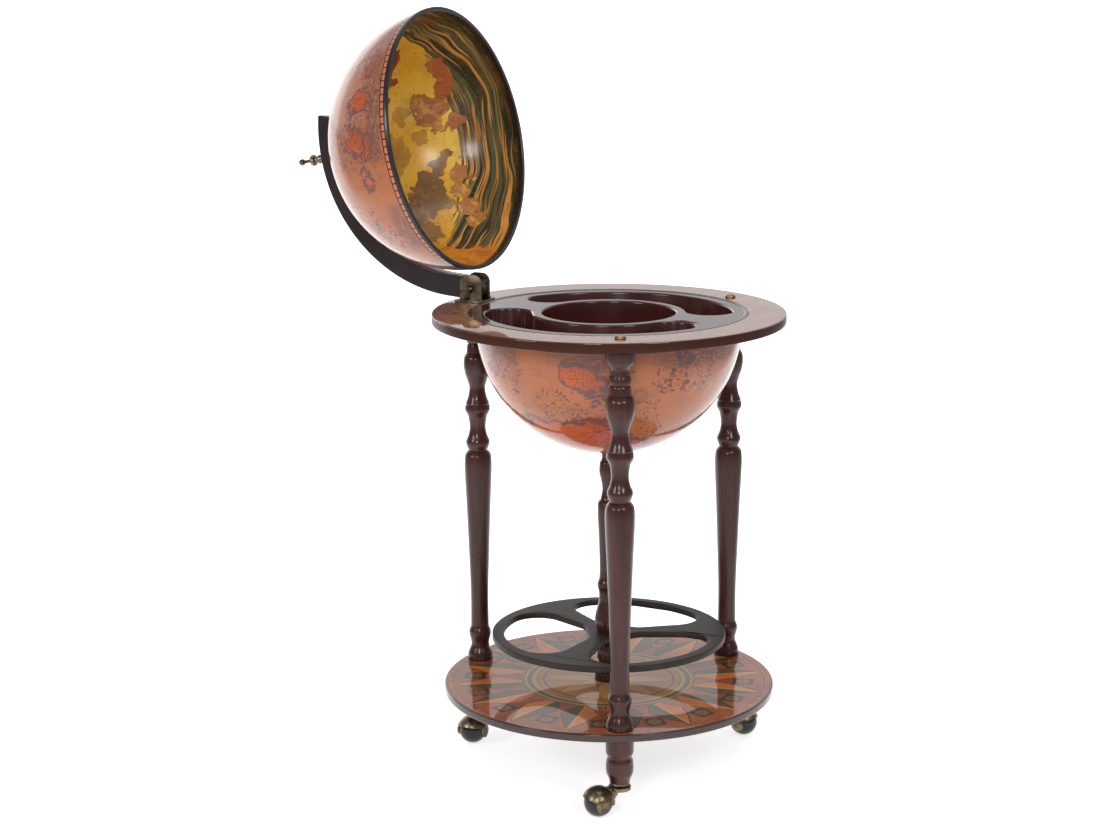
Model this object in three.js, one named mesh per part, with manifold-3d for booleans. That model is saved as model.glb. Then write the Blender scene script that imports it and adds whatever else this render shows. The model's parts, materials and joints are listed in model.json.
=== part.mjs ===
// Floor globe bar: a printed ring board on three turned legs over a round shelf,
// with the lower half of a globe hung under the ring and the upper half as a
// hinged lid. Millimetres, +Z up. The hinge is on the -X side.
import * as THREE from 'three';
import { mergeVertices } from 'three/addons/utils/BufferGeometryUtils.js';
import Module from 'manifold-3d';

const wasm = await Module();
wasm.setup();

// Fits shared by all pieces
const seatGap = 0.3;
const overrun = 5;
const weldTolerance = 0.0005;
const quarterTurn = 90;
const halfTurn = 2 * quarterTurn;
const fullTurn = 2 * halfTurn;

// Heights and boards
const shelfTop = 110;
const shelfThickness = 10;
const shelfFieldShare = 0.715;
const ringTop = 599;
const ringThickness = 12;
const ringRadius = 225;
const ringBoardWidth = 60;
const shelfInset = 10;
const boardEdgeRound = 1.5;
const ringOpeningRadius = ringRadius - ringBoardWidth;
const domeSeatWidth = 5.5;
const domeRadius = ringOpeningRadius + domeSeatWidth;
const shelfRadius = ringRadius - shelfInset;
const shelfBottom = shelfTop - shelfThickness;
const ringBottom = ringTop - ringThickness;

// Legs, feet and their fasteners
const hingeDomeGap = 23.7;
const hingePivotForward = 1.7;
const hingePivotRadius = domeRadius + hingeDomeGap;
const legCircleRadius = hingePivotRadius - hingePivotForward;
const legRadius = 18.4;
const footRadius = 17.6;
const footBottom = 41;
const studRadius = 3;
const studReach = 24;
const boreRadius = studRadius + seatGap;
const legPlaces = [
  { name: 'hinge', bearing: 180, swivel: 275.9 },
  { name: 'front', bearing: -60, swivel: 226.4 },
  { name: 'side', bearing: 60, swivel: -5.1 },
];

// Centre column and bottle holder
const columnBaseRadius = 18.5;
const columnShaftRadius = 18;
const nutRadius = 6;
const nutHeight = 5;
const nutFlangeRadius = 9;
const nutFlangeHeight = 1.2;
const rodEndReach = 4;
const holderLegGap = 22.1;
const holderThickness = 8;
const holderRise = 66;
const holderRimWidth = 15;
const holderWebWidth = 22;
const holderHubShare = 28 / 152;
const holderInnerRoundShare = 28 / 152;
const holderOuterRoundShare = 34 / 152;
const holderOpeningAngle = 50;
const holderTurn = 32;
const holderRadius = legCircleRadius - legRadius - holderLegGap;
const holderHubReach = holderRadius * holderHubShare;
const holderInnerRound = holderRadius * holderInnerRoundShare;
const holderOuterRound = holderRadius * holderOuterRoundShare;
const holderTop = shelfTop + holderRise;
const holderBottom = holderTop - holderThickness;
const holderOpeningRadius = holderRadius - holderRimWidth;

// Lower half of the globe and the insert
const bowlSeatWidth = 4.2;
const shellWall = 3;
const trayLedge = 12;
const trayThickness = 2.2;
const trayDrop = 0.7;
const trayBeadWidth = 5;
const trayBeadHeight = 0.8;
const wellWall = 2;
const wellSpacing = 13;
const wellBowlGap = 13.31;
const wellDraft = 4;
const glassWidthShare = 59 / 169.2;
const glassBowlInset = 12.2;
const glassBowlGap = 5.11;
const glassDraft = 6;
const glassReachAngle = 76;
const bowlRadius = ringOpeningRadius + bowlSeatWidth;
const trayRadius = ringOpeningRadius + trayLedge;
const glassOuterRadius = bowlRadius - glassBowlInset;
const glassInnerRadius = glassOuterRadius - bowlRadius * glassWidthShare;
const wellRadius = glassInnerRadius - wellSpacing;
const trayTop = ringTop - trayDrop;
const trayBottom = trayTop - trayThickness;
const rabbetFloor = trayBottom - seatGap;
const rabbetRadius = trayRadius + seatGap;
const glassMiddleRadius = (glassInnerRadius + glassOuterRadius) / 2;
const glassEndRound = (glassOuterRadius - glassInnerRadius) / 2;
const bowlCentre = ringBottom - seatGap;
const bowlBottom = bowlCentre - bowlRadius;
const columnTop = bowlBottom - seatGap;
const nutPadRadius = nutFlangeRadius + 2 * seatGap;
const bowlInner = bowlRadius - shellWall;
const nutPadTop = bowlCentre - Math.sqrt(bowlInner ** 2 - nutPadRadius ** 2);
const wellBottom = roomBelow(wellBowlGap, wellRadius - wellDraft + wellWall);
const glassBottom = roomBelow(glassBowlGap, glassOuterRadius - glassDraft + wellWall);

// Hinge
const hingePivotHeight = 16.4;
const openAngle = 101.1;
const armThickness = 20;
const bracketGap = 0.5;
const bracketPlate = 1.6;
const bracketWidth = 32;
const bracketHeight = 35;
const bracketRound = 11;
const bracketBaseLength = 38;
const bracketFlange = 10.4;
const bracketScrewSpacing = 18;
const bracketScrewFlangeShare = 5.5 / 10.4;
const hingeBoltHeadRadius = 4.6;
const hingeBoltHeadHeight = 3;
const hingeNutHeight = 4;
const cheekInner = armThickness / 2 + bracketGap;
const cheekOuter = cheekInner + bracketPlate;
const bracketBaseWidth = 2 * (cheekOuter + bracketFlange);
const bracketScrewOut = cheekOuter + bracketFlange * bracketScrewFlangeShare;

// Lid: sizes from the centre of its sphere, seen closed
const domeEdgeRise = 2.5;
const domeTrayGap = 0.5;
const rimHeight = 3.8;
const rimLipRise = 2.4;
const rimLipWall = 1.4;
const armDomeGap = 12.7;
const armDepth = 29;
const armInnerRadius = domeRadius + armDomeGap;
const armOuterRadius = armInnerRadius + armDepth;
const armCentreForward = 5.5;
const armCentreDrop = 1.1;
const armPastPole = 15.7;
const armEndRadius = 14;
const armFlareAngle = 8;
const poleBoltRadius = 2.5;
const poleBoltHeadRadius = 6;
const poleBoltHeadHeight = 2.5;
const poleBoltHeadGap = 1.5;
const poleSpacerRadius = 8;
const finialLength = 41;
const finialRadius = 7.8;
const finialBoreDepth = 9;
const domeCentreHeight = trayTop + domeTrayGap - domeEdgeRise;

// Casters
const ballRadius = 18.25;
const ballGap = 0.8;
const ballArcEnd = 78;
const hoodWall = 1.8;
const swivelOffset = 28;
const hubRadius = 9;
const axleRadius = 3;
const hoodCutFarRise = 8.5;
const hoodCutNearDrop = 3;
const bossRadius = 14;
const bossHeight = 5;
const gussetWidth = 12;
const gussetDrop = 16;
const collarRadius = 12.6;
const collarHeight = 3.9;
const stemPinRadius = 4;
const stemHeadRadius = 6.2;
const stemHeadHeight = 2.2;
const spigotRadius = 4.5;
const spigotLength = 22;
const hoodInner = ballRadius + ballGap;
const hoodOuter = hoodInner + hoodWall;
const collarTop = footBottom - seatGap;
const collarBottom = collarTop - collarHeight;
const bossTop = collarBottom - seatGap;
const bossBottom = bossTop - bossHeight;

// Small fasteners
const boltHeadRadius = 5;
const boltHeadHeight = 1.5;
const boltReach = 26;
const capRadius = 7.2;
const capHeight = 3.6;
const screwRadius = 1.8;
const screwReach = 9;
const screwHeadRadius = 3.6;
const screwHeadHeight = 1.6;
const sinkHeadRadius = 6;

// Roundness of turned pieces, in flat sides
const boardSides = 56;
const globeSides = 36;
const globeBands = 8;
const legSides = 14;
const smallSides = 12;
const tinySides = 8;
const ballSides = 16;

// Outlines as shares of a piece's own length and greatest radius
const legShares = [
  [0, 0.895], [0.017, 0.88], [0.046, 0.64], [0.0796, 0.807], [0.1, 0.65], [0.17, 0.64],
  [0.32, 0.75], [0.46, 0.89], [0.53, 0.975], [0.57, 1], [0.594, 0.94], [0.6055, 0.68],
  [0.6285, 0.867], [0.65, 0.66], [0.668, 0.582], [0.69, 0.68], [0.711, 0.89], [0.729, 0.835],
  [0.752, 0.61], [0.767, 0.55], [0.782, 0.6], [0.803, 0.76], [0.84, 0.922], [0.867, 0.83],
  [0.896, 0.62], [0.902, 0.7], [0.912, 0.7], [0.914, 0.64], [0.923, 0.63], [0.936, 0.75],
  [0.946, 0.9], [0.963, 0.985], [0.982, 0.95], [1, 0.86],
];
const footShares = [
  [0, 0.7], [0.1, 0.78], [0.22, 0.95], [0.33, 0.99], [0.47, 0.96], [0.585, 0.865],
  [0.66, 0.97], [0.72, 1], [1, 1],
];
const columnBaseShares = [
  [0, 1], [0.16, 1], [0.23, 0.84], [0.36, 0.67], [0.56, 0.84], [0.72, 0.8], [0.86, 0.67],
  [0.92, 0.82], [1, 0.84],
];
const columnShaftShares = [
  [0, 0.84], [0.025, 0.96], [0.055, 1], [0.11, 0.9], [0.18, 0.7], [0.23, 0.72], [0.262, 0.83],
  [0.292, 0.69], [0.34, 0.66], [0.52, 0.72], [0.62, 0.79], [0.68, 0.82], [0.715, 0.78],
  [0.735, 0.6], [0.79, 0.47], [0.84, 0.56], [0.89, 0.7], [0.935, 0.66], [0.96, 0.5], [1, 0.56],
];
const finialShares = [
  [0, 0.76], [0.08, 0.76], [0.12, 0.5], [0.2, 0.52], [0.23, 0.78], [0.31, 1], [0.39, 0.78],
  [0.45, 0.34], [0.54, 0.24], [0.72, 0.24], [0.77, 0.44], [0.86, 0.55], [0.95, 0.42], [1, 0],
];

// Colours and finishes
function finish(color, roughness, metalness = 0) {
  return new THREE.MeshStandardMaterial({ color, roughness, metalness });
}
const turnedWood = () => finish(0x3a1f1c, 0.3);
const printedBoard = () => finish(0x9a6a4c, 0.25);
const globePrint = () => finish(0xb9805a, 0.35);
const insertPlastic = () => finish(0x3a2724, 0.25);
const holderBlack = () => finish(0x2c2a2b, 0.5);
const rimBlack = () => finish(0x1c1b1d, 0.4);
const agedBrass = () => finish(0x6e6248, 0.35, 1);
const brightBrass = () => finish(0xb08a52, 0.3, 1);
const darkSteel = () => finish(0x6c6c6c, 0.4, 1);
const casterRubber = () => finish(0x2b2b2d, 0.45);

// Lowest height that leaves the gap inside the bowl to a corner at this radius
function roomBelow(gap, radius) {
  return bowlCentre - Math.sqrt((bowlInner - gap) ** 2 - radius ** 2);
}

// Geometry helpers
function degrees(angle) {
  return THREE.MathUtils.degToRad(angle);
}

function toSolid(geometry) {
  const bare = geometry.clone();
  bare.deleteAttribute('normal');
  bare.deleteAttribute('uv');
  const welded = mergeVertices(bare, weldTolerance);
  const corners = welded.index.array;
  const kept = [];
  for (let i = 0; i < corners.length; i += 3) {
    const [a, b, c] = [corners[i], corners[i + 1], corners[i + 2]];
    if (a !== b && b !== c && c !== a) {
      kept.push(a, b, c);
    }
  }
  return new wasm.Manifold(new wasm.Mesh({
    numProp: 3,
    vertProperties: new Float32Array(welded.attributes.position.array),
    triVerts: new Uint32Array(kept),
  }));
}

function toGeometry(solid) {
  const { vertProperties, triVerts } = solid.getMesh();
  const geometry = new THREE.BufferGeometry();
  geometry.setAttribute('position', new THREE.BufferAttribute(vertProperties, 3));
  geometry.setIndex(new THREE.BufferAttribute(triVerts, 1));
  geometry.computeVertexNormals();
  return geometry;
}

function cut(body, ...tools) {
  return toGeometry(tools.reduce((left, tool) => left.subtract(toSolid(tool)), toSolid(body)));
}

function join(...pieces) {
  return toGeometry(pieces.map(toSolid).reduce((sum, piece) => sum.add(piece)));
}

// Revolve a closed outline of [radius, height] points about Z
function turned(outline, sides) {
  const points = outline.map(([radius, height]) => new THREE.Vector2(radius, height));
  if (THREE.ShapeUtils.area(points) < 0) {
    points.reverse();
  }
  const onAxis = points[0].x === 0 && points[points.length - 1].x === 0;
  if (!onAxis) {
    points.push(points[0].clone());
  }
  return new THREE.LatheGeometry(points, sides).rotateX(Math.PI / 2);
}

function cylinder(radius, bottom, top, sides) {
  return turned([[0, bottom], [radius, bottom], [radius, top], [0, top]], sides);
}

function arcPoints(centreX, centreY, radius, from, to, steps) {
  const points = [];
  for (let i = 0; i <= steps; i += 1) {
    const angle = degrees(from + ((to - from) * i) / steps);
    points.push([centreX + radius * Math.cos(angle), centreY + radius * Math.sin(angle)]);
  }
  return points;
}

function shapeOf(points) {
  return new THREE.Shape(points.map(([x, y]) => new THREE.Vector2(x, y)));
}

function slab(shape, bottom, top) {
  const geometry = new THREE.ExtrudeGeometry(shape, { depth: top - bottom, bevelEnabled: false });
  return geometry.translate(0, 0, bottom);
}

// Solid between a lower outline and an upper one that have equal numbers of points
function tapered(lower, upper, bottom, top) {
  const count = lower.length;
  const positions = [];
  lower.forEach(([x, y]) => positions.push(x, y, bottom));
  upper.forEach(([x, y]) => positions.push(x, y, top));
  const corners = [];
  for (let i = 0; i < count; i += 1) {
    const next = (i + 1) % count;
    corners.push(i, next, count + next, i, count + next, count + i);
  }
  const flat = lower.map(([x, y]) => new THREE.Vector2(x, y));
  THREE.ShapeUtils.triangulateShape(flat, []).forEach(([a, b, c]) => {
    corners.push(a, c, b);
    corners.push(count + a, count + b, count + c);
  });
  const geometry = new THREE.BufferGeometry();
  geometry.setAttribute('position', new THREE.Float32BufferAttribute(positions, 3));
  geometry.setIndex(corners);
  return geometry;
}

function sideOutline(shares, length, radius) {
  return shares.map(([along, out]) => [out * radius, along * length]);
}

// A turned wooden piece with a blind bore at each end
function blindBored(shares, length, radius, lowerBore, upperBore) {
  const upperEnd = length - upperBore.depth;
  return turned([
    [0, lowerBore.depth], [lowerBore.radius, lowerBore.depth], [lowerBore.radius, 0],
    ...sideOutline(shares, length, radius),
    [upperBore.radius, length], [upperBore.radius, upperEnd], [0, upperEnd],
  ], legSides);
}

// A turned wooden piece with one bore right through it
function throughBored(shares, length, radius, bore) {
  const side = sideOutline(shares, length, radius);
  return turned([[bore, 0], ...side, [bore, length]], legSides);
}

const part = new THREE.Group();

function addPiece(name, geometry, material, parent = part) {
  const mesh = new THREE.Mesh(toGeometry(toSolid(geometry)), material);
  mesh.name = name;
  parent.add(mesh);
  return mesh;
}

function groupAt(x, y, z, parent = part) {
  const group = new THREE.Group();
  group.position.set(x, y, z);
  parent.add(group);
  return group;
}

function around(bearing, radius) {
  return [radius * Math.cos(degrees(bearing)), radius * Math.sin(degrees(bearing))];
}

function uprightHole([x, y], radius, bottom, top, sides = smallSides) {
  return cylinder(radius, bottom - overrun, top + overrun, sides).translate(x, y, 0);
}

// Shelf: a round board with one hole for each leg stud and one for the column rod
function addShelf() {
  const board = turned([
    [0, shelfBottom], [shelfRadius - boardEdgeRound, shelfBottom],
    [shelfRadius, shelfBottom + boardEdgeRound], [shelfRadius, shelfTop - boardEdgeRound],
    [shelfRadius - boardEdgeRound, shelfTop], [shelfRadius * shelfFieldShare, shelfTop],
    [0, shelfTop],
  ], boardSides);
  const places = [[0, 0], ...legPlaces.map(({ bearing }) => around(bearing, legCircleRadius))];
  const holes = places.map((place) => (
    uprightHole(place, boreRadius, shelfBottom, shelfTop, tinySides)
  ));
  addPiece('shelf', cut(board, ...holes), printedBoard());
}

// One leg with its foot and the hidden stud through the shelf
function addLeg({ name, bearing }) {
  const [x, y] = around(bearing, legCircleRadius);
  const legBottom = shelfTop + seatGap;
  const legLength = ringBottom - seatGap - legBottom;
  const footTop = shelfBottom - seatGap;
  const studBore = { radius: boreRadius, depth: studReach + seatGap };
  const boltBore = { radius: boreRadius, depth: boltReach + seatGap };
  const stemBore = { radius: spigotRadius + seatGap, depth: spigotLength + seatGap };
  const leg = blindBored(legShares, legLength, legRadius, studBore, boltBore);
  const foot = blindBored(footShares, footTop - footBottom, footRadius, stemBore, studBore);
  const stud = cylinder(studRadius, footTop - studReach, legBottom + studReach, tinySides);
  addPiece(`leg_${name}`, leg, turnedWood(), groupAt(x, y, legBottom));
  addPiece(`foot_${name}`, foot, turnedWood(), groupAt(x, y, footBottom));
  addPiece(`leg_stud_${name}`, stud, darkSteel(), groupAt(x, y, 0));
}

// One rounded opening of the bottle holder, centred on the X axis: its sides touch a
// small round at each inner corner and a larger one at each outer corner
function holderOpening() {
  const webAxis = degrees(60);
  const outerReach = holderOpeningRadius - holderOuterRound;
  const cornerAngle = THREE.MathUtils.radToDeg(Math.asin(holderOuterRound / outerReach));
  const outerAngle = holderOpeningAngle - cornerAngle;
  const [outerX, outerY] = around(outerAngle, outerReach);
  const innerX = holderHubReach + holderInnerRound;
  const webClear = holderWebWidth / 2 + holderInnerRound;
  const innerY = (innerX * Math.sin(webAxis) - webClear) / Math.cos(webAxis);
  const apart = Math.hypot(outerX - innerX, outerY - innerY);
  const spread = Math.asin((holderOuterRound - holderInnerRound) / apart);
  const side = Math.atan2(outerY - innerY, outerX - innerX) + spread;
  const normal = quarterTurn + THREE.MathUtils.radToDeg(side);
  const half = [
    ...arcPoints(innerX, innerY, holderInnerRound, halfTurn, normal, 3),
    ...arcPoints(outerX, outerY, holderOuterRound, normal, outerAngle, 7),
    ...arcPoints(0, 0, holderOpeningRadius, outerAngle, 0, 5).slice(1),
  ];
  const mirrored = half.slice(0, -1).reverse().map(([x, y]) => [x, -y]);
  return shapeOf([...half, ...mirrored]);
}

// Bottle holder: a disc with three openings between a hub, three webs and a rim
function addHolder() {
  const disc = turned([
    [boreRadius, holderBottom], [holderRadius, holderBottom],
    [holderRadius, holderTop - boardEdgeRound], [holderRadius - boardEdgeRound, holderTop],
    [boreRadius, holderTop],
  ], boardSides);
  const openings = [0, 120, 240].map((angle) => (
    slab(holderOpening(), holderBottom - overrun, holderTop + overrun).rotateZ(degrees(angle))
  ));
  const holder = cut(disc, ...openings).rotateZ(degrees(halfTurn + holderTurn));
  addPiece('bottle_holder', holder, holderBlack());
}

function flangeNut(bottom, flangeBelow) {
  const flangeFrom = flangeBelow ? bottom : bottom + nutHeight;
  const body = cylinder(nutRadius, bottom, bottom + nutHeight + nutFlangeHeight, 6);
  const flange = cylinder(nutFlangeRadius, flangeFrom, flangeFrom + nutFlangeHeight, legSides);
  const bore = cylinder(boreRadius, bottom - overrun, bottom + nutHeight + overrun, tinySides);
  return cut(join(body, flange), bore);
}

// Centre column: two turned pieces clamped round the holder by one long rod
function addColumn() {
  const baseBottom = shelfTop + seatGap;
  const baseLength = holderBottom - seatGap - baseBottom;
  const shaftBottom = holderTop + seatGap;
  const lowerNutBottom = shelfBottom - seatGap - nutHeight - nutFlangeHeight;
  const upperNutBottom = nutPadTop + seatGap;
  const rodBottom = lowerNutBottom - rodEndReach;
  const rodTop = upperNutBottom + nutHeight + rodEndReach;
  const base = throughBored(columnBaseShares, baseLength, columnBaseRadius, boreRadius);
  const shaft = throughBored(columnShaftShares, columnTop - shaftBottom, columnShaftRadius, boreRadius);
  addPiece('column_base', base, turnedWood(), groupAt(0, 0, baseBottom));
  addPiece('column_shaft', shaft, turnedWood(), groupAt(0, 0, shaftBottom));
  addPiece('column_rod', cylinder(studRadius, rodBottom, rodTop, tinySides), darkSteel());
  addPiece('rod_nut_lower', flangeNut(lowerNutBottom, false), darkSteel());
  addPiece('rod_nut_upper', flangeNut(upperNutBottom, true), darkSteel());
}

function bracketScrewPlaces() {
  const places = [];
  [-1, 1].forEach((side) => {
    [-1, 1].forEach((end) => {
      places.push([end * bracketScrewSpacing / 2 - legCircleRadius, side * bracketScrewOut]);
    });
  });
  return places;
}

// Ring board with a rabbet for the insert and holes for its bolts and screws
function addRing() {
  const board = turned([
    [ringOpeningRadius, ringBottom], [ringRadius - boardEdgeRound, ringBottom],
    [ringRadius, ringBottom + boardEdgeRound], [ringRadius, ringTop - boardEdgeRound],
    [ringRadius - boardEdgeRound, ringTop], [rabbetRadius, ringTop],
    [rabbetRadius, rabbetFloor], [ringOpeningRadius, rabbetFloor],
  ], boardSides);
  const boltHoles = legPlaces.map(({ bearing }) => (
    uprightHole(around(bearing, legCircleRadius), boreRadius, ringBottom, ringTop, tinySides)
  ));
  const screwHoles = bracketScrewPlaces().map(([x, y]) => (
    cylinder(screwRadius + seatGap, ringTop - screwReach - seatGap, ringTop + overrun, tinySides)
      .translate(x, y, 0)
  ));
  addPiece('horizon_ring', cut(board, ...boltHoles, ...screwHoles), printedBoard());
}

// Bolt from the ring into a leg, and the domed cap over its head
function addRingBolt({ name, bearing }) {
  const place = groupAt(...around(bearing, legCircleRadius), ringTop);
  const headBottom = seatGap;
  const headTop = headBottom + boltHeadHeight;
  const shankBottom = -ringThickness - boltReach;
  const recess = boltHeadRadius + seatGap;
  const bolt = turned([
    [0, shankBottom], [studRadius, shankBottom], [studRadius, headBottom],
    [boltHeadRadius, headBottom], [boltHeadRadius, headTop], [0, headTop],
  ], tinySides);
  const dome = arcPoints(0, 0, 1, 0, quarterTurn, 4).map(([out, up]) => [
    capRadius * out, headBottom + capHeight * up,
  ]);
  dome[dome.length - 1][0] = 0;
  const cap = turned([
    [0, headTop + seatGap], [recess, headTop + seatGap], [recess, headBottom], ...dome,
  ], legSides);
  addPiece(`ring_bolt_${name}`, bolt, darkSteel(), place);
  addPiece(`bolt_cap_${name}`, cap, brightBrass(), place);
}

// Lower half of the globe: a thin bowl with a hole at the bottom for the column rod
function addBowl() {
  const outerFrom = THREE.MathUtils.radToDeg(Math.asin(boreRadius / bowlRadius)) - quarterTurn;
  const innerFrom = THREE.MathUtils.radToDeg(Math.asin(nutPadRadius / bowlInner)) - quarterTurn;
  const outside = arcPoints(0, bowlCentre, bowlRadius, outerFrom, 0, globeBands);
  const inside = arcPoints(0, bowlCentre, bowlInner, 0, innerFrom, globeBands);
  addPiece('bowl', turned([...outside, ...inside, [boreRadius, nutPadTop]], globeSides), globePrint());
}

// Outline of a kidney-shaped glass well, drawn in by inset on every side
function kidneyOutline(inset) {
  const round = glassEndRound - inset;
  const lobeAngle = THREE.MathUtils.radToDeg(glassEndRound / glassMiddleRadius);
  const reach = glassReachAngle - lobeAngle;
  const [from, to] = [quarterTurn - reach, quarterTurn + reach];
  const [fromX, fromY] = around(from, glassMiddleRadius);
  const [toX, toY] = around(to, glassMiddleRadius);
  const points = [
    ...arcPoints(0, 0, glassMiddleRadius + round, from, to, 14),
    ...arcPoints(toX, toY, round, to, to + halfTurn, 7).slice(1, -1),
    ...arcPoints(0, 0, glassMiddleRadius - round, to, from, 12),
    ...arcPoints(fromX, fromY, round, from + halfTurn, from + fullTurn, 7).slice(1, -1),
  ];
  return points;
}

// Insert: a plate let into the ring, with a bottle well and two glass wells under it
function addInsert() {
  const beadInner = trayRadius - trayBeadWidth;
  const plate = turned([
    [wellRadius, trayBottom], [trayRadius, trayBottom], [trayRadius, trayTop + trayBeadHeight],
    [beadInner, trayTop + trayBeadHeight], [beadInner - trayBeadHeight, trayTop], [wellRadius, trayTop],
  ], boardSides);
  const opening = slab(shapeOf(kidneyOutline(0)), trayBottom - overrun, trayTop + overrun);
  const cuts = [opening, opening.clone().rotateZ(Math.PI)];
  addPiece('tray_plate', cut(plate, ...cuts), insertPlastic());

  const wellTop = trayBottom - seatGap;
  const lowRadius = wellRadius - wellDraft;
  const well = turned([
    [0, wellBottom], [lowRadius + wellWall, wellBottom], [wellRadius + wellWall, wellTop],
    [wellRadius, wellTop], [lowRadius, wellBottom + wellWall], [0, wellBottom + wellWall],
  ], globeSides);
  addPiece('bottle_well', well, insertPlastic());

  const outside = tapered(
    kidneyOutline(glassDraft - wellWall),
    kidneyOutline(-wellWall),
    glassBottom,
    wellTop,
  );
  const inside = tapered(
    kidneyOutline(glassDraft),
    kidneyOutline(0),
    glassBottom + wellWall,
    wellTop,
  );
  const above = slab(shapeOf(kidneyOutline(0)), wellTop, wellTop + overrun);
  const cup = cut(outside, join(inside, above));
  addPiece('glass_well_back', cup, insertPlastic());
  addPiece('glass_well_front', cup.clone().rotateZ(Math.PI), insertPlastic());
}

// A cheek of the hinge bracket: straight sides and rounded top corners, in X and Z
function cheek(sideY) {
  const half = bracketWidth / 2;
  const shoulder = bracketHeight - bracketRound;
  const outline = [
    [-half, 0], [half, 0],
    ...arcPoints(half - bracketRound, shoulder, bracketRound, 0, quarterTurn, 5),
    ...arcPoints(bracketRound - half, shoulder, bracketRound, quarterTurn, halfTurn, 5),
  ];
  return slab(shapeOf(outline), 0, bracketPlate)
    .rotateX(Math.PI / 2)
    .translate(-hingePivotRadius, sideY, 0);
}

function lyingCylinder(radius, fromY, toY, sides) {
  return cylinder(radius, fromY, toY, sides).rotateX(-Math.PI / 2);
}

// Hinge bracket, its screws and bolts, and the pivot bolt and nut
function addHinge() {
  const place = groupAt(0, 0, ringTop + seatGap);
  const base = new THREE.BoxGeometry(bracketBaseLength, bracketBaseWidth, bracketPlate)
    .translate(-hingePivotRadius, 0, bracketPlate / 2);
  const pivotUp = hingePivotHeight - seatGap;
  const pivotHole = lyingCylinder(boreRadius, -cheekOuter - overrun, cheekOuter + overrun, smallSides)
    .translate(-hingePivotRadius, 0, pivotUp);
  const sink = turned([
    [0, -overrun], [boreRadius, -overrun], [boreRadius, 0],
    [sinkHeadRadius + seatGap, bracketPlate], [sinkHeadRadius + seatGap, bracketPlate + seatGap],
    [0, bracketPlate + seatGap],
  ], smallSides).translate(-legCircleRadius, 0, 0);
  const screwHoles = bracketScrewPlaces().map((spot) => (
    uprightHole(spot, screwRadius + seatGap, 0, bracketPlate, tinySides)
  ));
  const cheeks = [cheek(cheekOuter), cheek(-cheekInner)];
  const bracket = cut(join(base, ...cheeks), pivotHole, sink, ...screwHoles);
  addPiece('hinge_bracket', bracket, agedBrass(), place);

  const sinkBottom = -seatGap - ringThickness - boltReach;
  const legBolt = turned([
    [0, sinkBottom], [studRadius, sinkBottom], [studRadius, 0],
    [sinkHeadRadius, bracketPlate], [0, bracketPlate],
  ], smallSides).translate(-legCircleRadius, 0, 0);
  addPiece('bracket_bolt', legBolt, darkSteel(), place);

  bracketScrewPlaces().forEach(([x, y], index) => {
    const headBottom = bracketPlate + seatGap;
    const headTop = headBottom + screwHeadHeight;
    const screw = turned([
      [0, -screwReach], [screwRadius, -screwReach], [screwRadius, headBottom],
      [screwHeadRadius, headBottom], [screwHeadRadius * Math.SQRT1_2, headTop], [0, headTop],
    ], tinySides).translate(x, y, 0);
    addPiece(`bracket_screw_${index + 1}`, screw, agedBrass(), place);
  });

  const nutInner = cheekOuter + seatGap;
  const nutOuter = nutInner + hingeNutHeight;
  const headInner = -cheekOuter - seatGap;
  const headOuter = headInner - hingeBoltHeadHeight;
  const pivotBolt = turned([
    [0, headOuter], [hingeBoltHeadRadius * Math.SQRT1_2, headOuter],
    [hingeBoltHeadRadius, headInner], [studRadius, headInner], [studRadius, nutOuter], [0, nutOuter],
  ], smallSides).rotateX(-Math.PI / 2).translate(-hingePivotRadius, 0, pivotUp);
  addPiece('hinge_bolt', pivotBolt, agedBrass(), place);
  const pivotNut = cut(
    lyingCylinder(nutRadius, nutInner, nutOuter, 6),
    lyingCylinder(boreRadius, -overrun, nutOuter + overrun, smallSides),
  ).translate(-hingePivotRadius, 0, pivotUp);
  addPiece('hinge_nut', pivotNut, agedBrass(), place);
}

// Outline of the meridian arm in X and height, from the lid sphere's centre
function armOutline(pivotX, pivotY) {
  const [centreX, centreY] = [armCentreForward, -armCentreDrop];
  const endAngle = quarterTurn - armPastPole;
  const pivotAngle = THREE.MathUtils.radToDeg(Math.atan2(pivotY - centreY, pivotX - centreX));
  const flareFrom = pivotAngle - armFlareAngle;
  return [
    ...arcPoints(centreX, centreY, armOuterRadius, endAngle, flareFrom, 22),
    ...arcPoints(pivotX, pivotY, armEndRadius, pivotAngle, pivotAngle + halfTurn, 10),
    ...arcPoints(centreX, centreY, armInnerRadius, flareFrom, endAngle, 20),
  ];
}

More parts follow.
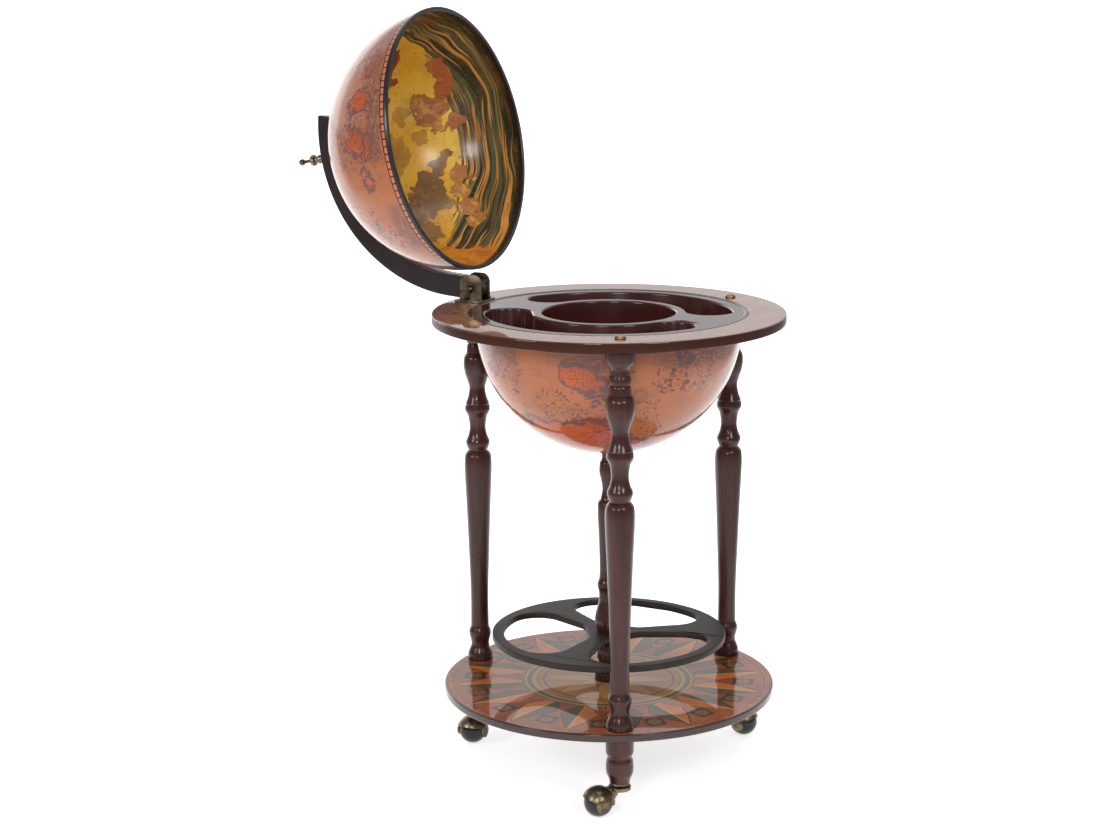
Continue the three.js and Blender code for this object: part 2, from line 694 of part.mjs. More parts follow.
// Lid: dome, edge strip, arm and pole fittings, built closed and then swung open
function addLid() {
  const pivotZ = ringTop + hingePivotHeight;
  const swing = groupAt(-hingePivotRadius, 0, pivotZ);
  swing.rotation.y = degrees(-openAngle);
  const lid = groupAt(hingePivotRadius, 0, domeCentreHeight - pivotZ, swing);

  const stripBottom = domeEdgeRise;
  const stripTop = stripBottom + rimHeight;
  const domeEdge = stripTop + seatGap;
  const inner = domeRadius - shellWall;
  const poleHole = poleBoltRadius + seatGap;
  const shellSide = (radius) => {
    const edgeAngle = THREE.MathUtils.radToDeg(Math.asin(domeEdge / radius));
    return [...arcPoints(0, 0, radius, edgeAngle, quarterTurn, globeBands).slice(0, -1), [0, radius]];
  };
  const shell = turned([...shellSide(domeRadius), ...shellSide(inner).reverse()], globeSides);
  const poleBore = cylinder(poleHole, inner / 2, armOuterRadius + armThickness, tinySides)
    .translate(armCentreForward, 0, 0);
  addPiece('dome', cut(shell, poleBore), globePrint(), lid);

  const lip = inner - 3 * seatGap;
  const strip = turned([
    [lip - rimLipWall, stripBottom], [domeRadius, stripBottom], [domeRadius, stripTop],
    [lip, stripTop], [lip, stripTop + rimLipRise], [lip - rimLipWall, stripTop + rimLipRise],
  ], globeSides);
  addPiece('dome_rim', strip, rimBlack(), lid);

  const pivotY = pivotZ - domeCentreHeight;
  const outline = armOutline(-hingePivotRadius, pivotY);
  const pivotHole = lyingCylinder(boreRadius, -armThickness, armThickness, smallSides)
    .translate(-hingePivotRadius, 0, pivotY);
  const armBody = slab(shapeOf(outline), -armThickness / 2, armThickness / 2).rotateX(Math.PI / 2);
  addPiece('meridian_arm', cut(armBody, pivotHole, poleBore), turnedWood(), lid);

  const fittings = groupAt(armCentreForward, 0, 0, lid);
  const armInner = armInnerRadius - armCentreDrop;
  const armOuter = armOuterRadius - armCentreDrop;
  const headTop = inner - poleBoltHeadGap;
  const boltTop = armOuter + finialBoreDepth;
  const poleBolt = turned([
    [0, headTop - poleBoltHeadHeight], [poleBoltHeadRadius, headTop - poleBoltHeadHeight],
    [poleBoltHeadRadius, headTop], [poleBoltRadius, headTop], [poleBoltRadius, boltTop], [0, boltTop],
  ], smallSides);
  addPiece('pole_bolt', poleBolt, agedBrass(), fittings);

  const spacerBottom = domeRadius + seatGap;
  const spacerTop = armInner - 2 * seatGap;
  const spacer = turned([
    [poleHole, spacerBottom], [poleSpacerRadius, spacerBottom],
    [poleSpacerRadius, spacerTop], [poleHole, spacerTop],
  ], smallSides);
  addPiece('pole_spacer', spacer, turnedWood(), fittings);

  const finialBoreEnd = finialBoreDepth + seatGap;
  const finial = turned([
    [0, finialBoreEnd], [poleHole, finialBoreEnd], [poleHole, 0],
    ...sideOutline(finialShares, finialLength, finialRadius),
  ], smallSides);
  addPiece('finial', finial, agedBrass(), groupAt(0, 0, armOuter + seatGap, fittings));
}

// Hood of a caster: a part shell over the ball with hubs, a boss and a gusset.
// Seen with the swivel axis at X = 0 and the ball's centre at X = swivelOffset.
function casterHood() {
  const ballUp = ballRadius;
  const globe = (radius, sides) => turned(
    [[0, -radius], ...arcPoints(0, 0, radius, -ballArcEnd, ballArcEnd, 6), [0, radius]],
    sides,
  ).translate(swivelOffset, 0, ballUp);
  const outer = globe(hoodOuter, ballSides);
  const cutRise = hoodCutFarRise + hoodCutNearDrop;
  const cutTilt = Math.atan2(cutRise, 2 * hoodOuter);
  const cutMiddle = (hoodCutFarRise - hoodCutNearDrop) / 2;
  const blockSize = 4 * hoodOuter;
  const below = new THREE.BoxGeometry(blockSize, blockSize, blockSize)
    .translate(0, 0, -blockSize / 2)
    .rotateY(-cutTilt)
    .translate(swivelOffset, 0, ballUp + cutMiddle);
  const hubs = toGeometry(toSolid(outer).intersect(toSolid(
    lyingCylinder(hubRadius, -blockSize, blockSize, legSides).translate(swivelOffset, 0, ballUp),
  )));
  const boss = cylinder(bossRadius, bossBottom, bossTop, ballSides);
  const gusset = slab(shapeOf([
    [-stemHeadRadius, bossTop], [-stemHeadRadius, bossBottom],
    [stemHeadRadius, bossBottom - gussetDrop], [swivelOffset, bossBottom - gussetDrop],
    [swivelOffset, bossTop],
  ]), -gussetWidth / 2, gussetWidth / 2).rotateX(Math.PI / 2);
  const stemClear = stemHeadRadius + 2 * seatGap;
  return cut(
    join(cut(outer, below), hubs, boss, gusset),
    globe(hoodInner, ballSides),
    lyingCylinder(axleRadius + seatGap, -blockSize, blockSize, smallSides)
      .translate(swivelOffset, 0, ballUp),
    cylinder(stemPinRadius + seatGap, 0, collarTop, smallSides),
    cylinder(stemClear, 0, bossBottom, legSides),
  );
}

function addCaster({ name, bearing, swivel }) {
  const place = groupAt(...around(bearing, legCircleRadius), 0);
  const headTop = bossBottom - seatGap;
  const headBottom = headTop - stemHeadHeight;
  const spigotTop = collarTop + spigotLength;
  const stem = turned([
    [0, headBottom], [stemHeadRadius, headBottom], [stemHeadRadius, headTop],
    [stemPinRadius, headTop], [stemPinRadius, collarBottom], [collarRadius, collarBottom],
    [collarRadius, collarTop - boardEdgeRound], [collarRadius - boardEdgeRound, collarTop],
    [spigotRadius, collarTop], [spigotRadius, spigotTop], [0, spigotTop],
  ], legSides);
  addPiece(`caster_stem_${name}`, stem, agedBrass(), place);

  const turn = groupAt(0, 0, 0, place);
  turn.rotation.z = degrees(swivel);
  addPiece(`caster_hood_${name}`, casterHood(), agedBrass(), turn);

  const wheel = groupAt(swivelOffset, 0, ballRadius, turn);
  const bore = axleRadius + seatGap;
  const boreAngle = THREE.MathUtils.radToDeg(Math.acos(bore / ballRadius));
  const ballOutline = arcPoints(0, 0, ballRadius, -boreAngle, boreAngle, 8);
  const ball = turned(ballOutline, ballSides).rotateX(-Math.PI / 2);
  addPiece(`caster_ball_${name}`, ball, casterRubber(), wheel);
  const axleHalf = hoodOuter - seatGap;
  const axle = lyingCylinder(axleRadius, -axleHalf, axleHalf, tinySides);
  addPiece(`caster_axle_${name}`, axle, darkSteel(), wheel);
}

addShelf();
legPlaces.forEach(addLeg);
addHolder();
addColumn();
addRing();
legPlaces.filter(({ name }) => name !== 'hinge').forEach(addRingBolt);
addBowl();
addInsert();
addHinge();
addLid();
legPlaces.forEach(addCaster);

// Stand the part on the floor with its origin under the middle of its outline
part.updateMatrixWorld(true);
const outlineBox = new THREE.Box3().setFromObject(part, true);
const middle = outlineBox.getCenter(new THREE.Vector3());
part.position.set(-middle.x, -middle.y, -outlineBox.min.z);

export default part;
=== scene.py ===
"""Looks of a floor globe bar: turned legs, printed boards, a hinged globe lid and wells."""
import json
import math

import bmesh
import bpy
from bpy.props import FloatProperty, FloatVectorProperty, IntProperty, PointerProperty
from mathutils import Matrix, Vector


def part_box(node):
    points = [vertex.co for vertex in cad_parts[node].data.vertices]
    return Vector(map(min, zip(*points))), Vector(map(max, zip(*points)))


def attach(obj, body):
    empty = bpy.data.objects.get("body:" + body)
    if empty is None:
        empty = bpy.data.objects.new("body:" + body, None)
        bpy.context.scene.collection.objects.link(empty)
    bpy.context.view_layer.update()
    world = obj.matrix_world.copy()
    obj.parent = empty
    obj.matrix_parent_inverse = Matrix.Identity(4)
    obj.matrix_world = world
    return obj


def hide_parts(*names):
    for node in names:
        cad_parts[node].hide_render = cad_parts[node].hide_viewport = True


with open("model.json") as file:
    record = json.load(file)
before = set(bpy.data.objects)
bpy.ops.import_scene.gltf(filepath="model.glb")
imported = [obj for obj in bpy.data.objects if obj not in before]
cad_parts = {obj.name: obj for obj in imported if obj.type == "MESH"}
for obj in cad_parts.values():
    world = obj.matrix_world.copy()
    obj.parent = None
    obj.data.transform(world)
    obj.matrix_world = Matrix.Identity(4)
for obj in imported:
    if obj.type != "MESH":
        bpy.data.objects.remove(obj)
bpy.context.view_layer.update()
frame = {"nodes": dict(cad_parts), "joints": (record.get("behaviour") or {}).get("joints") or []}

bl_info = {
    "name": "Floor Globe Bar",
    "version": (1, 0, 0),
    "blender": (4, 5, 0),
    "location": "3D View > Sidebar > Globe Bar",
    "description": "Models and finishes the pieces of a floor globe bar",
    "category": "Object",
}

MM = 0.001
# Points that lie nearer to each other than this are one point
WELD = 0.002 * MM


def hinge_of_lid():
    for joint in frame["joints"]:
        if joint["name"] == "lid_hinge":
            return Vector(joint["pos_m"]), math.radians(joint["range_deg"][1])
    raise RuntimeError("the frame has no lid hinge")


def over(node, height=0.0):
    """The middle of a solid in plan, at a height above the floor."""
    low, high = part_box(node)
    return Vector(((low.x + high.x) / 2, (low.y + high.y) / 2, height))


# Places and sizes that follow the solids
PIVOT, OPENING = hinge_of_lid()
AXIS = over("horizon_ring")
RING_LOW, RING_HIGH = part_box("horizon_ring")
SHELF_LOW, SHELF_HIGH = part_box("shelf")
BOWL_LOW, BOWL_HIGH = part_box("bowl")
HOLDER_LOW, HOLDER_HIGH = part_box("bottle_holder")
RING_TOP = RING_HIGH.z
RING_RADIUS = (RING_HIGH.y - RING_LOW.y) / 2
SHELF_RADIUS = (SHELF_HIGH.y - SHELF_LOW.y) / 2
BOWL_RADIUS = (BOWL_HIGH.y - BOWL_LOW.y) / 2
HOLDER_RADIUS = 152 * MM
TRAY_TOP = RING_TOP - 0.7 * MM
LID_RADIUS = 170.5 * MM
LID_CENTRE = Vector((AXIS.x, 0, TRAY_TOP - 2 * MM))
SHELL_WALL = 3 * MM
POLE_OFFSET = 5.5 * MM
BALL_RADIUS = 18.25 * MM
SWIVEL_OFFSET = 28 * MM
LEGS = ("hinge", "front", "side")
# Headings of the casters at rest, in degrees
SWIVELS = {"hinge": 275.9, "front": 226.4, "side": -5.1}
# Sides of the round boards and of the globe's pieces
BOARD_STEPS = 192
GLOBE_STEPS = 144
OPEN_LID = (
    Matrix.Translation(PIVOT)
    @ Matrix.Rotation(-OPENING, 4, "Y")
    @ Matrix.Translation(-PIVOT)
)
LID_CENTRE_OPEN = OPEN_LID @ LID_CENTRE

# Turned outlines: sections of (share of length, share of greatest radius), with a sharp
# edge between two sections
LEG_SECTIONS = (
    ((0, 0.89), (0.003, 0.905), (0.007, 0.905)),
    ((0.007, 0.905), (0.009, 0.865), (0.011, 0.905)),
    ((0.011, 0.905), (0.018, 0.88), (0.046, 0.64), (0.0796, 0.807), (0.1, 0.655),
     (0.17, 0.64), (0.32, 0.75), (0.46, 0.89), (0.53, 0.975), (0.565, 1), (0.59, 0.95),
     (0.6, 0.83), (0.6055, 0.68)),
    ((0.6055, 0.68), (0.6285, 0.867), (0.65, 0.67), (0.67, 0.582), (0.702, 0.69),
     (0.7217, 0.91), (0.734, 0.88)),
    ((0.734, 0.88), (0.7357, 0.82), (0.739, 0.85)),
    ((0.739, 0.85), (0.759, 0.66), (0.781, 0.575), (0.803, 0.714), (0.825, 0.9),
     (0.849, 0.98), (0.867, 0.94), (0.88, 0.76)),
    ((0.88, 0.76), (0.881, 0.73), (0.882, 0.75)),
    ((0.882, 0.75), (0.902, 0.7), (0.9075, 0.635)),
    ((0.9075, 0.635), (0.911, 0.71), (0.919, 0.735), (0.927, 0.71), (0.931, 0.66)),
    ((0.931, 0.66), (0.946, 0.655), (0.9525, 0.716)),
    ((0.9525, 0.716), (0.959, 0.85), (0.968, 0.95), (0.9835, 0.99), (0.998, 0.98), (1, 0.96)),
)
FOOT_SECTIONS = (
    ((0, 0.7), (0.1, 0.79), (0.22, 0.95), (0.33, 0.99), (0.47, 0.955), (0.585, 0.863),
     (0.65, 0.965), (0.72, 1), (0.95, 1), (1, 0.98)),
)
COLUMN_BASE_SECTIONS = (
    ((0, 0.98), (0.03, 1), (0.15, 1), (0.2, 0.97)),
    ((0.2, 0.97), (0.24, 0.82), (0.36, 0.67), (0.56, 0.84), (0.72, 0.8), (0.86, 0.67)),
    ((0.86, 0.67), (0.92, 0.82), (1, 0.84)),
)
COLUMN_SHAFT_SECTIONS = (
    ((0, 0.84), (0.025, 0.96), (0.055, 1), (0.11, 0.91), (0.18, 0.7), (0.225, 0.71)),
    ((0.225, 0.71), (0.262, 0.83), (0.292, 0.7)),
    ((0.292, 0.7), (0.34, 0.66), (0.52, 0.72), (0.62, 0.79), (0.68, 0.82), (0.715, 0.79),
     (0.735, 0.6)),
    ((0.735, 0.6), (0.79, 0.47), (0.84, 0.56), (0.89, 0.7), (0.935, 0.66), (0.96, 0.5),
     (1, 0.56)),
)
FINIAL_SECTIONS = (
    ((0, 0.6), (0.06, 0.62), (0.13, 0.7), (0.2, 0.76), (0.225, 0.72)),
    ((0.225, 0.72), (0.26, 0.5), (0.33, 0.52)),
    ((0.33, 0.52), (0.345, 0.66)),
    ((0.345, 0.66), (0.38, 0.9), (0.434, 1), (0.49, 0.88), (0.53, 0.6)),
    ((0.53, 0.6), (0.56, 0.38), (0.63, 0.29), (0.72, 0.28), (0.79, 0.29)),
    ((0.79, 0.29), (0.8335, 0.507), (0.889, 0.585), (0.9445, 0.507), (0.985, 0.29), (1, 0)),
)

# Printed spots: bearing and height in degrees on the globe, radius in mm
BOWL_ISLANDS = (
    (-77, -14, 26), (-70, -19, 20), (-84, -60, 74), (-108, -48, 34), (-18, -54, 30), (-30, -7, 8),
    (-124, -16, 14), (14, -22, 30), (32, -34, 24), (62, -12, 20), (88, -40, 44), (118, -14, 26),
    (150, -34, 36), (172, -12, 18), (200, -42, 40), (215, -18, 22),
)
LID_ISLANDS = (
    (-52, 11, 15), (-66, 16, 20), (-84, 18, 22), (-100, 16, 13), (-66, 40, 14), (-24, 22, 34),
    (8, 40, 38), (30, 14, 22), (62, 30, 36), (96, 12, 20), (110, 50, 40), (140, 20, 30),
    (172, 42, 36), (-160, 14, 26), (-132, 34, 28), (-90, 66, 26),
)
SKY_CLOUDS = ((92, 63, 22), (110, 66, 20), (60, 55, 16), (132, 64, 14), (84, 50, 12))
# Painted masses inside the lid: spots, dark tone, light tone and scallop of the edge
SKY_MASSES = (
    (((34, 50, 17), (24, 42, 16), (46, 56, 10)),
     (0.2, 0.05, 0.02), (0.34, 0.1, 0.035), 0.004),
    (((46, 30, 12), (53, 27, 12), (60, 31, 9)),
     (0.5, 0.13, 0.045), (0.7, 0.26, 0.075), 0.0),
    (((62, 44, 12), (72, 42, 15), (80, 38, 13), (70, 34, 9), (78, 31, 8)),
     (0.45, 0.16, 0.05), (0.7, 0.34, 0.09), 0.0),
    (((98, 38, 10), (106, 42, 13), (116, 46, 15), (127, 48, 18), (140, 47, 22), (153, 40, 24),
      (128, 38, 16)),
     (0.24, 0.13, 0.045), (0.42, 0.23, 0.08), 0.012),
    (((110, 33, 11), (119, 31, 14), (128, 27, 14), (136, 22, 11), (112, 25, 8)),
     (0.5, 0.2, 0.06), (0.8, 0.42, 0.11), 0.0),
)


# Shader maths: a wrapped socket that takes Python's own operators
class Flow:
    def __init__(self, graph, socket):
        self.graph = graph
        self.socket = socket

    def math(self, operation, *others):
        return self.graph.add("ShaderNodeMath", {"operation": operation}, self, *others)

    def __add__(self, other):
        return self.math("ADD", other)

    __radd__ = __add__

    def __sub__(self, other):
        return self.math("SUBTRACT", other)

    def __rsub__(self, other):
        return self.graph.add("ShaderNodeMath", {"operation": "SUBTRACT"}, other, self)

    def __mul__(self, other):
        return self.math("MULTIPLY", other)

    def __truediv__(self, other):
        return self.math("DIVIDE", other)

    def __pow__(self, other):
        return self.math("POWER", other)

    def above(self, limit, blur=0.02):
        """1 above the limit and 0 below it, with a soft step of twice the blur."""
        settings = {"interpolation_type": "SMOOTHSTEP"}
        low, high = limit - blur, limit + blur
        return self.graph.add("ShaderNodeMapRange", settings, self, low, high, 0.0, 1.0)

    def below(self, limit, blur=0.02):
        return 1 - self.above(limit, blur)

    def between(self, low, high, blur=0.02):
        return self.above(low, blur) * self.below(high, blur)

    def abs(self):
        return self.math("ABSOLUTE")

    def sine(self):
        return self.math("SINE")

    def fraction(self):
        return self.math("FRACT")

    def most(self, other):
        return self.math("MAXIMUM", other)


class Graph:
    """Adds nodes to one node tree."""

    def __init__(self, tree):
        self.tree = tree

    def fill(self, socket, value):
        if isinstance(value, Flow):
            self.tree.links.new(value.socket, socket)
        elif isinstance(value, (tuple, list)) and socket.type == "RGBA":
            socket.default_value = (*value[:3], 1)
        else:
            socket.default_value = value

    def add(self, kind, settings, *inputs, output=0, **named):
        node = self.tree.nodes.new(kind)
        for setting, value in settings.items():
            if setting == "stops":
                self.set_stops(node.color_ramp, value)
            else:
                setattr(node, setting, value)
        enabled = [socket for socket in node.inputs if socket.enabled]
        for socket, value in zip(enabled, inputs):
            self.fill(socket, value)
        for socket, value in named.items():
            self.fill(node.inputs[socket.replace("_", " ")], value)
        outputs = [socket for socket in node.outputs if socket.enabled]
        return Flow(self, outputs[output])

    @staticmethod
    def set_stops(ramp, stops):
        while len(ramp.elements) < len(stops):
            ramp.elements.new(1)
        for element, (place, colour) in zip(ramp.elements, stops):
            element.position = place
            element.color = (*colour, 1)

    def parts(self, vector):
        node = self.tree.nodes.new("ShaderNodeSeparateXYZ")
        self.fill(node.inputs[0], vector)
        return [Flow(self, socket) for socket in node.outputs]

    def vector(self, x, y, z):
        return self.add("ShaderNodeCombineXYZ", {}, x, y, z)

    def angle(self, rise, run):
        return self.add("ShaderNodeMath", {"operation": "ARCTAN2"}, rise, run)

    def noise(self, vector, scale, detail=4.0, rough=0.55, bend=0.0):
        return self.add("ShaderNodeTexNoise", {}, Vector=vector, Scale=scale, Detail=detail,
                        Roughness=rough, Distortion=bend)

    def cells(self, vector, scale):
        return self.add("ShaderNodeTexVoronoi", {"feature": "F1"}, Vector=vector, Scale=scale)

    def mix(self, share, colour_a, colour_b):
        node = self.tree.nodes.new("ShaderNodeMix")
        node.data_type = "RGBA"
        for index, value in ((0, share), (6, colour_a), (7, colour_b)):
            self.fill(node.inputs[index], value)
        return Flow(self, node.outputs[2])

    def paint(self, tone, *layers):
        """Lay colours over a tone one after another: each layer is a share and a colour."""
        for share, colour in layers:
            tone = self.mix(share, tone, colour)
        return tone

    def ramp(self, value, stops):
        return self.add("ShaderNodeValToRGB", {"stops": stops}, value)

    def bump(self, height, strength, distance):
        return self.add("ShaderNodeBump", {}, Strength=strength, Distance=distance, Height=height)

    def dot(self, vector, way):
        return self.add("ShaderNodeVectorMath", {"operation": "DOT_PRODUCT"}, vector, tuple(way),
                        output=-1)


class Finish(Graph):
    """One material, whose shader is a Principled BSDF."""

    def __init__(self, name, **constants):
        self.material = bpy.data.materials.new(name)
        self.material.use_nodes = True
        super().__init__(self.material.node_tree)
        self.tree.nodes.clear()
        output = self.tree.nodes.new("ShaderNodeOutputMaterial")
        self.shader = self.tree.nodes.new("ShaderNodeBsdfPrincipled")
        self.tree.links.new(self.shader.outputs["BSDF"], output.inputs["Surface"])
        self.close(**constants)

    def point(self, centre=(0, 0, 0), turn=(0, 0, 0), scale=(1, 1, 1)):
        coordinates = self.tree.nodes.new("ShaderNodeTexCoord")
        place = Flow(self, coordinates.outputs["Object"])
        return self.add("ShaderNodeMapping", {"vector_type": "TEXTURE"}, place, tuple(centre),
                        tuple(turn), tuple(scale))

    def close(self, **sockets):
        """Fill the shader's sockets, with _ for a space in their names."""
        for socket, value in sockets.items():
            self.fill(self.shader.inputs[socket.replace("_", " ")], value)
        return self.material


def wood_finish(name, colour, grain_scale=(60, 60, 5)):
    """Dark stained wood under gloss lacquer, with its grain along Z."""
    wood = Finish(name, Coat_Roughness=0.2, Coat_IOR=1.4, Specular_IOR_Level=0.08)
    place = wood.point(scale=tuple(1 / share for share in grain_scale))
    figure = wood.noise(place, 1.0, 5.0, 0.6, 0.6)
    pores = wood.noise(place, 7.0, 2.0, 0.5)
    dark = tuple(0.5 * share for share in colour)
    light = (1.55 * colour[0], 1.45 * colour[1], 1.4 * colour[2])
    tone = wood.ramp(figure, ((0.28, dark), (0.5, colour), (0.72, light)))
    tone = wood.mix(pores.above(0.62, 0.08) * 0.5, tone, dark)
    return wood.close(Base_Color=tone, Roughness=figure * 0.18 + 0.25,
                      Coat_Weight=0.85 + pores * 0.1,
                      Normal=wood.bump(pores + figure * 0.5, 0.1, 0.0003))


def age_print(finish, place, tone, dark):
    """Foxing and rubbed spots of an old printed sheet."""
    stains = finish.noise(place, 22.0, 6.0, 0.65)
    specks = finish.noise(place, 260.0, 2.0, 0.5)
    return finish.paint(tone, (stains.above(0.56, 0.1) * 0.3, dark),
                        (specks.above(0.65, 0.03) * 0.4, dark))


def patches(finish, place, ball, spots):
    """Depth inside round patches on a ball: each is a bearing, a height and a radius."""
    depth = None
    for bearing, height, radius in spots:
        bearing, height = math.radians(bearing), math.radians(height)
        spot = Vector((math.cos(height) * math.cos(bearing), math.cos(height) * math.sin(bearing),
                       math.sin(height))) * ball
        far = finish.add("ShaderNodeVectorMath", {"operation": "DISTANCE"}, place, tuple(spot),
                         output=-1)
        depth = radius * MM - far if depth is None else depth.most(radius * MM - far)
    return depth


def globe_finish(name, centre, turn, ball, paper, band, islands, shoal_width, roses):
    """Old-map print: islands in shaded shoals, marks, wind-roses, lines and a scale band.

    band is the height of the scale band's lower edge and its width; roses is their number,
    the bearing of the first and their height, in degrees.
    """
    rose_tone = (1.02 * paper[0], 1.28 * paper[1], 2.1 * paper[2])
    rust = (1.15 * paper[0], 0.66 * paper[1], 0.45 * paper[2])
    slate, coral, ink = (0.13, 0.068, 0.07), (0.45, 0.12, 0.085), (0.075, 0.03, 0.028)
    globe = Finish(name, Coat_Roughness=0.07, Coat_IOR=1.42, Specular_IOR_Level=0.1)
    place = globe.point(centre, turn)
    x, y, z = globe.parts(place)
    bearing = globe.angle(y, x)
    height = globe.angle(z, (x * x + y * y) ** 0.5)
    tints = globe.noise(place, 7.0, 3.0, 0.5)
    warm = globe.noise(place, 5.0, 2.0, 0.5, 0.6)
    # Islands: a coral or rust middle with fine dots inside a broad slate shoal
    coast = globe.noise(place, 40.0, 6.0, 0.64, 0.8)
    depth = patches(globe, place, ball, islands) + (coast - 0.5) * 0.075
    shoal = depth.above(0.0, 0.0006)
    inland = depth.above(shoal_width, 0.0006)
    shore = depth.between(shoal_width - 0.0009, shoal_width, 0.0003)
    dots = globe.cells(place, 210.0).below(0.26, 0.06)
    # Clusters of small drawn marks on the open ground, and fine lines beside the band
    clusters = globe.noise(place, 15.0, 2.0, 0.5)
    scribble = globe.noise(place, 150.0, 3.0, 0.6, 1.5)
    marks = scribble.above(0.565, 0.02) * clusters.above(0.51, 0.02) * (1 - shoal)
    hatch = globe.noise(globe.vector(x * 60, y * 60, z * 620), 1.0, 3.0, 0.6)
    strip = z.abs().between(band[0] + 0.006, band[0] + 0.028, 0.006) * tints.above(0.44, 0.05)
    tone = globe.paint(
        paper,
        (tints.above(0.55, 0.05), rose_tone),
        (shoal * 0.95, slate),
        (inland, globe.mix(warm.above(0.5, 0.03), coral, rust)),
        (shore * 0.7, (0.2, 0.05, 0.06)),
        (inland * dots * 0.8, ink),
        (marks * 0.85, ink),
        (strip * hatch.above(0.46, 0.06) * 0.8, (0.16, 0.085, 0.07)))
    # Wind-roses, and a graticule every fifteen degrees
    count, first, level = roses
    level = math.radians(level)
    step = bearing * (count / (2 * math.pi)) + (0.5 - first * count / 360)
    along = (step.fraction() - 0.5) * (2 * math.pi / count * ball * math.cos(level))
    across = (height - level) * ball
    far = (along * along + across * across) ** 0.5
    around = globe.angle(across, along)
    teeth = petals(around, 22).below(0.45, 0.12) * far.between(0.0062, 0.0115, 0.0003)
    points = petals(around, 8).below(0.4, 0.15) * far.below(0.0046, 0.0003)
    drawn = teeth.most(points).most(far.between(0.0056, 0.0063, 0.0002))

    def line_every_step(angle):
        return ((angle * (12 / math.pi)).fraction() - 0.5).abs().above(0.494, 0.004)

    lines = (line_every_step(bearing) * height.abs().below(1.3, 0.05)).most(
        line_every_step(height))
    tone = globe.paint(tone, (drawn * 0.75, ink), (lines * 0.45, ink))
    tone = age_print(globe, place, tone, (0.2, 0.07, 0.045))
    # Scale band: light blocks parted by dark ticks, between two dark lines
    rise = (z.abs() - band[0]) / band[1]
    blocks = (bearing * (57 / math.pi)).fraction().above(0.2, 0.04)
    block_tone = globe.mix(blocks, (0.04, 0.015, 0.013), (0.56, 0.17, 0.08))
    tone = globe.paint(tone, (rise.between(-0.4, 1.4, 0.04), (0.045, 0.018, 0.016)),
                       (rise.between(0.0, 1.0, 0.04), block_tone))
    return globe.close(Base_Color=tone, Roughness=0.4 + tints * 0.1,
                       Coat_Weight=0.8 + tints * 0.2, Normal=globe.bump(scribble, 0.04, 0.0002))


def sky_finish(name, centre, turn, ball):
    """Inside of the lid: an amber sky, clouds, cloth and bushes beside long green strokes."""
    sky = Finish(name, Coat_Roughness=0.2, Specular_IOR_Level=0.12)
    place = sky.point(centre, turn)
    x, y, z = sky.parts(place)
    rise = sky.angle(x, y)
    height = sky.angle(z, (x * x + y * y) ** 0.5)
    sway = sky.noise(place, 7.0, 2.0, 0.5)
    drift = sky.noise(place, 21.0, 4.0, 0.55, 0.8)
    puffs = sky.cells(place, 85.0)
    grain = sky.noise(place, 60.0, 3.0, 0.55, 1.0)
    ink = (0.14, 0.055, 0.018)
    across = height + (sway - 0.5) * 0.4 - rise * rise * 0.03

    def mass(tone, spots, dark, light, scallop, share=1.0):
        """A painted patch with a drawn edge: ragged as cloth, or scalloped as leaves or cloud."""
        ragged = (drift - 0.5) * 0.06 + (grain - 0.5) * 0.012
        depth = patches(sky, place, ball, spots) + ragged + (0.42 - puffs) * scallop
        fill = sky.mix((drift * 0.6 + grain * 0.4).above(0.49, 0.06), light, dark)
        fill = sky.mix(grain.between(0.47, 0.5, 0.015) * 0.6, fill, ink)
        outline = depth.between(-0.0008, 0.0008, 0.0006) * 0.6
        return sky.paint(tone, (depth.above(0.0, 0.001) * share, fill), (outline * share, ink))

    def stroke(run, gap, start, limit, blur=0.025):
        """Long tapered brush strokes that run along the edge of the dish."""
        drawn = sky.noise(sky.vector(rise * run + start, across * gap, start), 1.0, 1.0, 0.4)
        return drawn.above(limit, blur)

    tone = sky.ramp(sway, ((0.32, (0.74, 0.36, 0.022)), (0.5, (0.92, 0.53, 0.05)),
                           (0.68, (0.98, 0.66, 0.1))))
    tone = mass(tone, SKY_CLOUDS, (0.42, 0.18, 0.02), (0.6, 0.3, 0.04), 0.008, 0.65)
    reeds = sky.paint(
        (0.5, 0.23, 0.05),
        (stroke(1.1, 13, 1.5, 0.5, 0.05), (0.22, 0.19, 0.065)),
        (stroke(1.0, 19, 4.5, 0.47), (0.03, 0.04, 0.02)),
        (stroke(1.3, 30, 8.5, 0.54), (0.09, 0.1, 0.05)),
        (stroke(1.5, 38, 13.5, 0.59), (0.66, 0.31, 0.07)),
        (stroke(1.9, 58, 21.5, 0.55) * 0.85, (0.02, 0.026, 0.014)))
    wall = height + (drift - 0.5) * 0.18 + stroke(1.5, 36, 30.5, 0.5, 0.1) * 0.09
    far_side = rise.abs().below(1.9, 0.15)
    tone = sky.paint(tone, (wall.below(0.55, 0.012) * far_side, reeds),
                     (wall.between(0.54, 0.56, 0.008) * far_side * 0.8, (0.06, 0.07, 0.03)))
    # Clouds and cloth high up, bushes and cloth low down, warm ground at the bottom, and a
    # near-black band along the dish's open edge
    for spots, dark, light, scallop in SKY_MASSES:
        tone = mass(tone, spots, dark, light, scallop)
    ground = (rise * -1.0 + (drift - 0.5) * 0.6 - height * 0.25).above(1.12, 0.03)
    ground_tone = sky.mix(grain.above(0.52, 0.06), (0.7, 0.26, 0.025), (0.54, 0.17, 0.022))
    tone = sky.paint(tone, (ground, ground_tone),
                     (height.below(0.085, 0.012) * 0.95, (0.012, 0.013, 0.01)))
    tone = age_print(sky, place, tone, (0.3, 0.13, 0.035))
    return sky.close(Base_Color=tone, Roughness=0.36 + sway * 0.1, Coat_Weight=0.5 + sway * 0.2,
                     Normal=sky.bump(drift, 0.03, 0.0003))


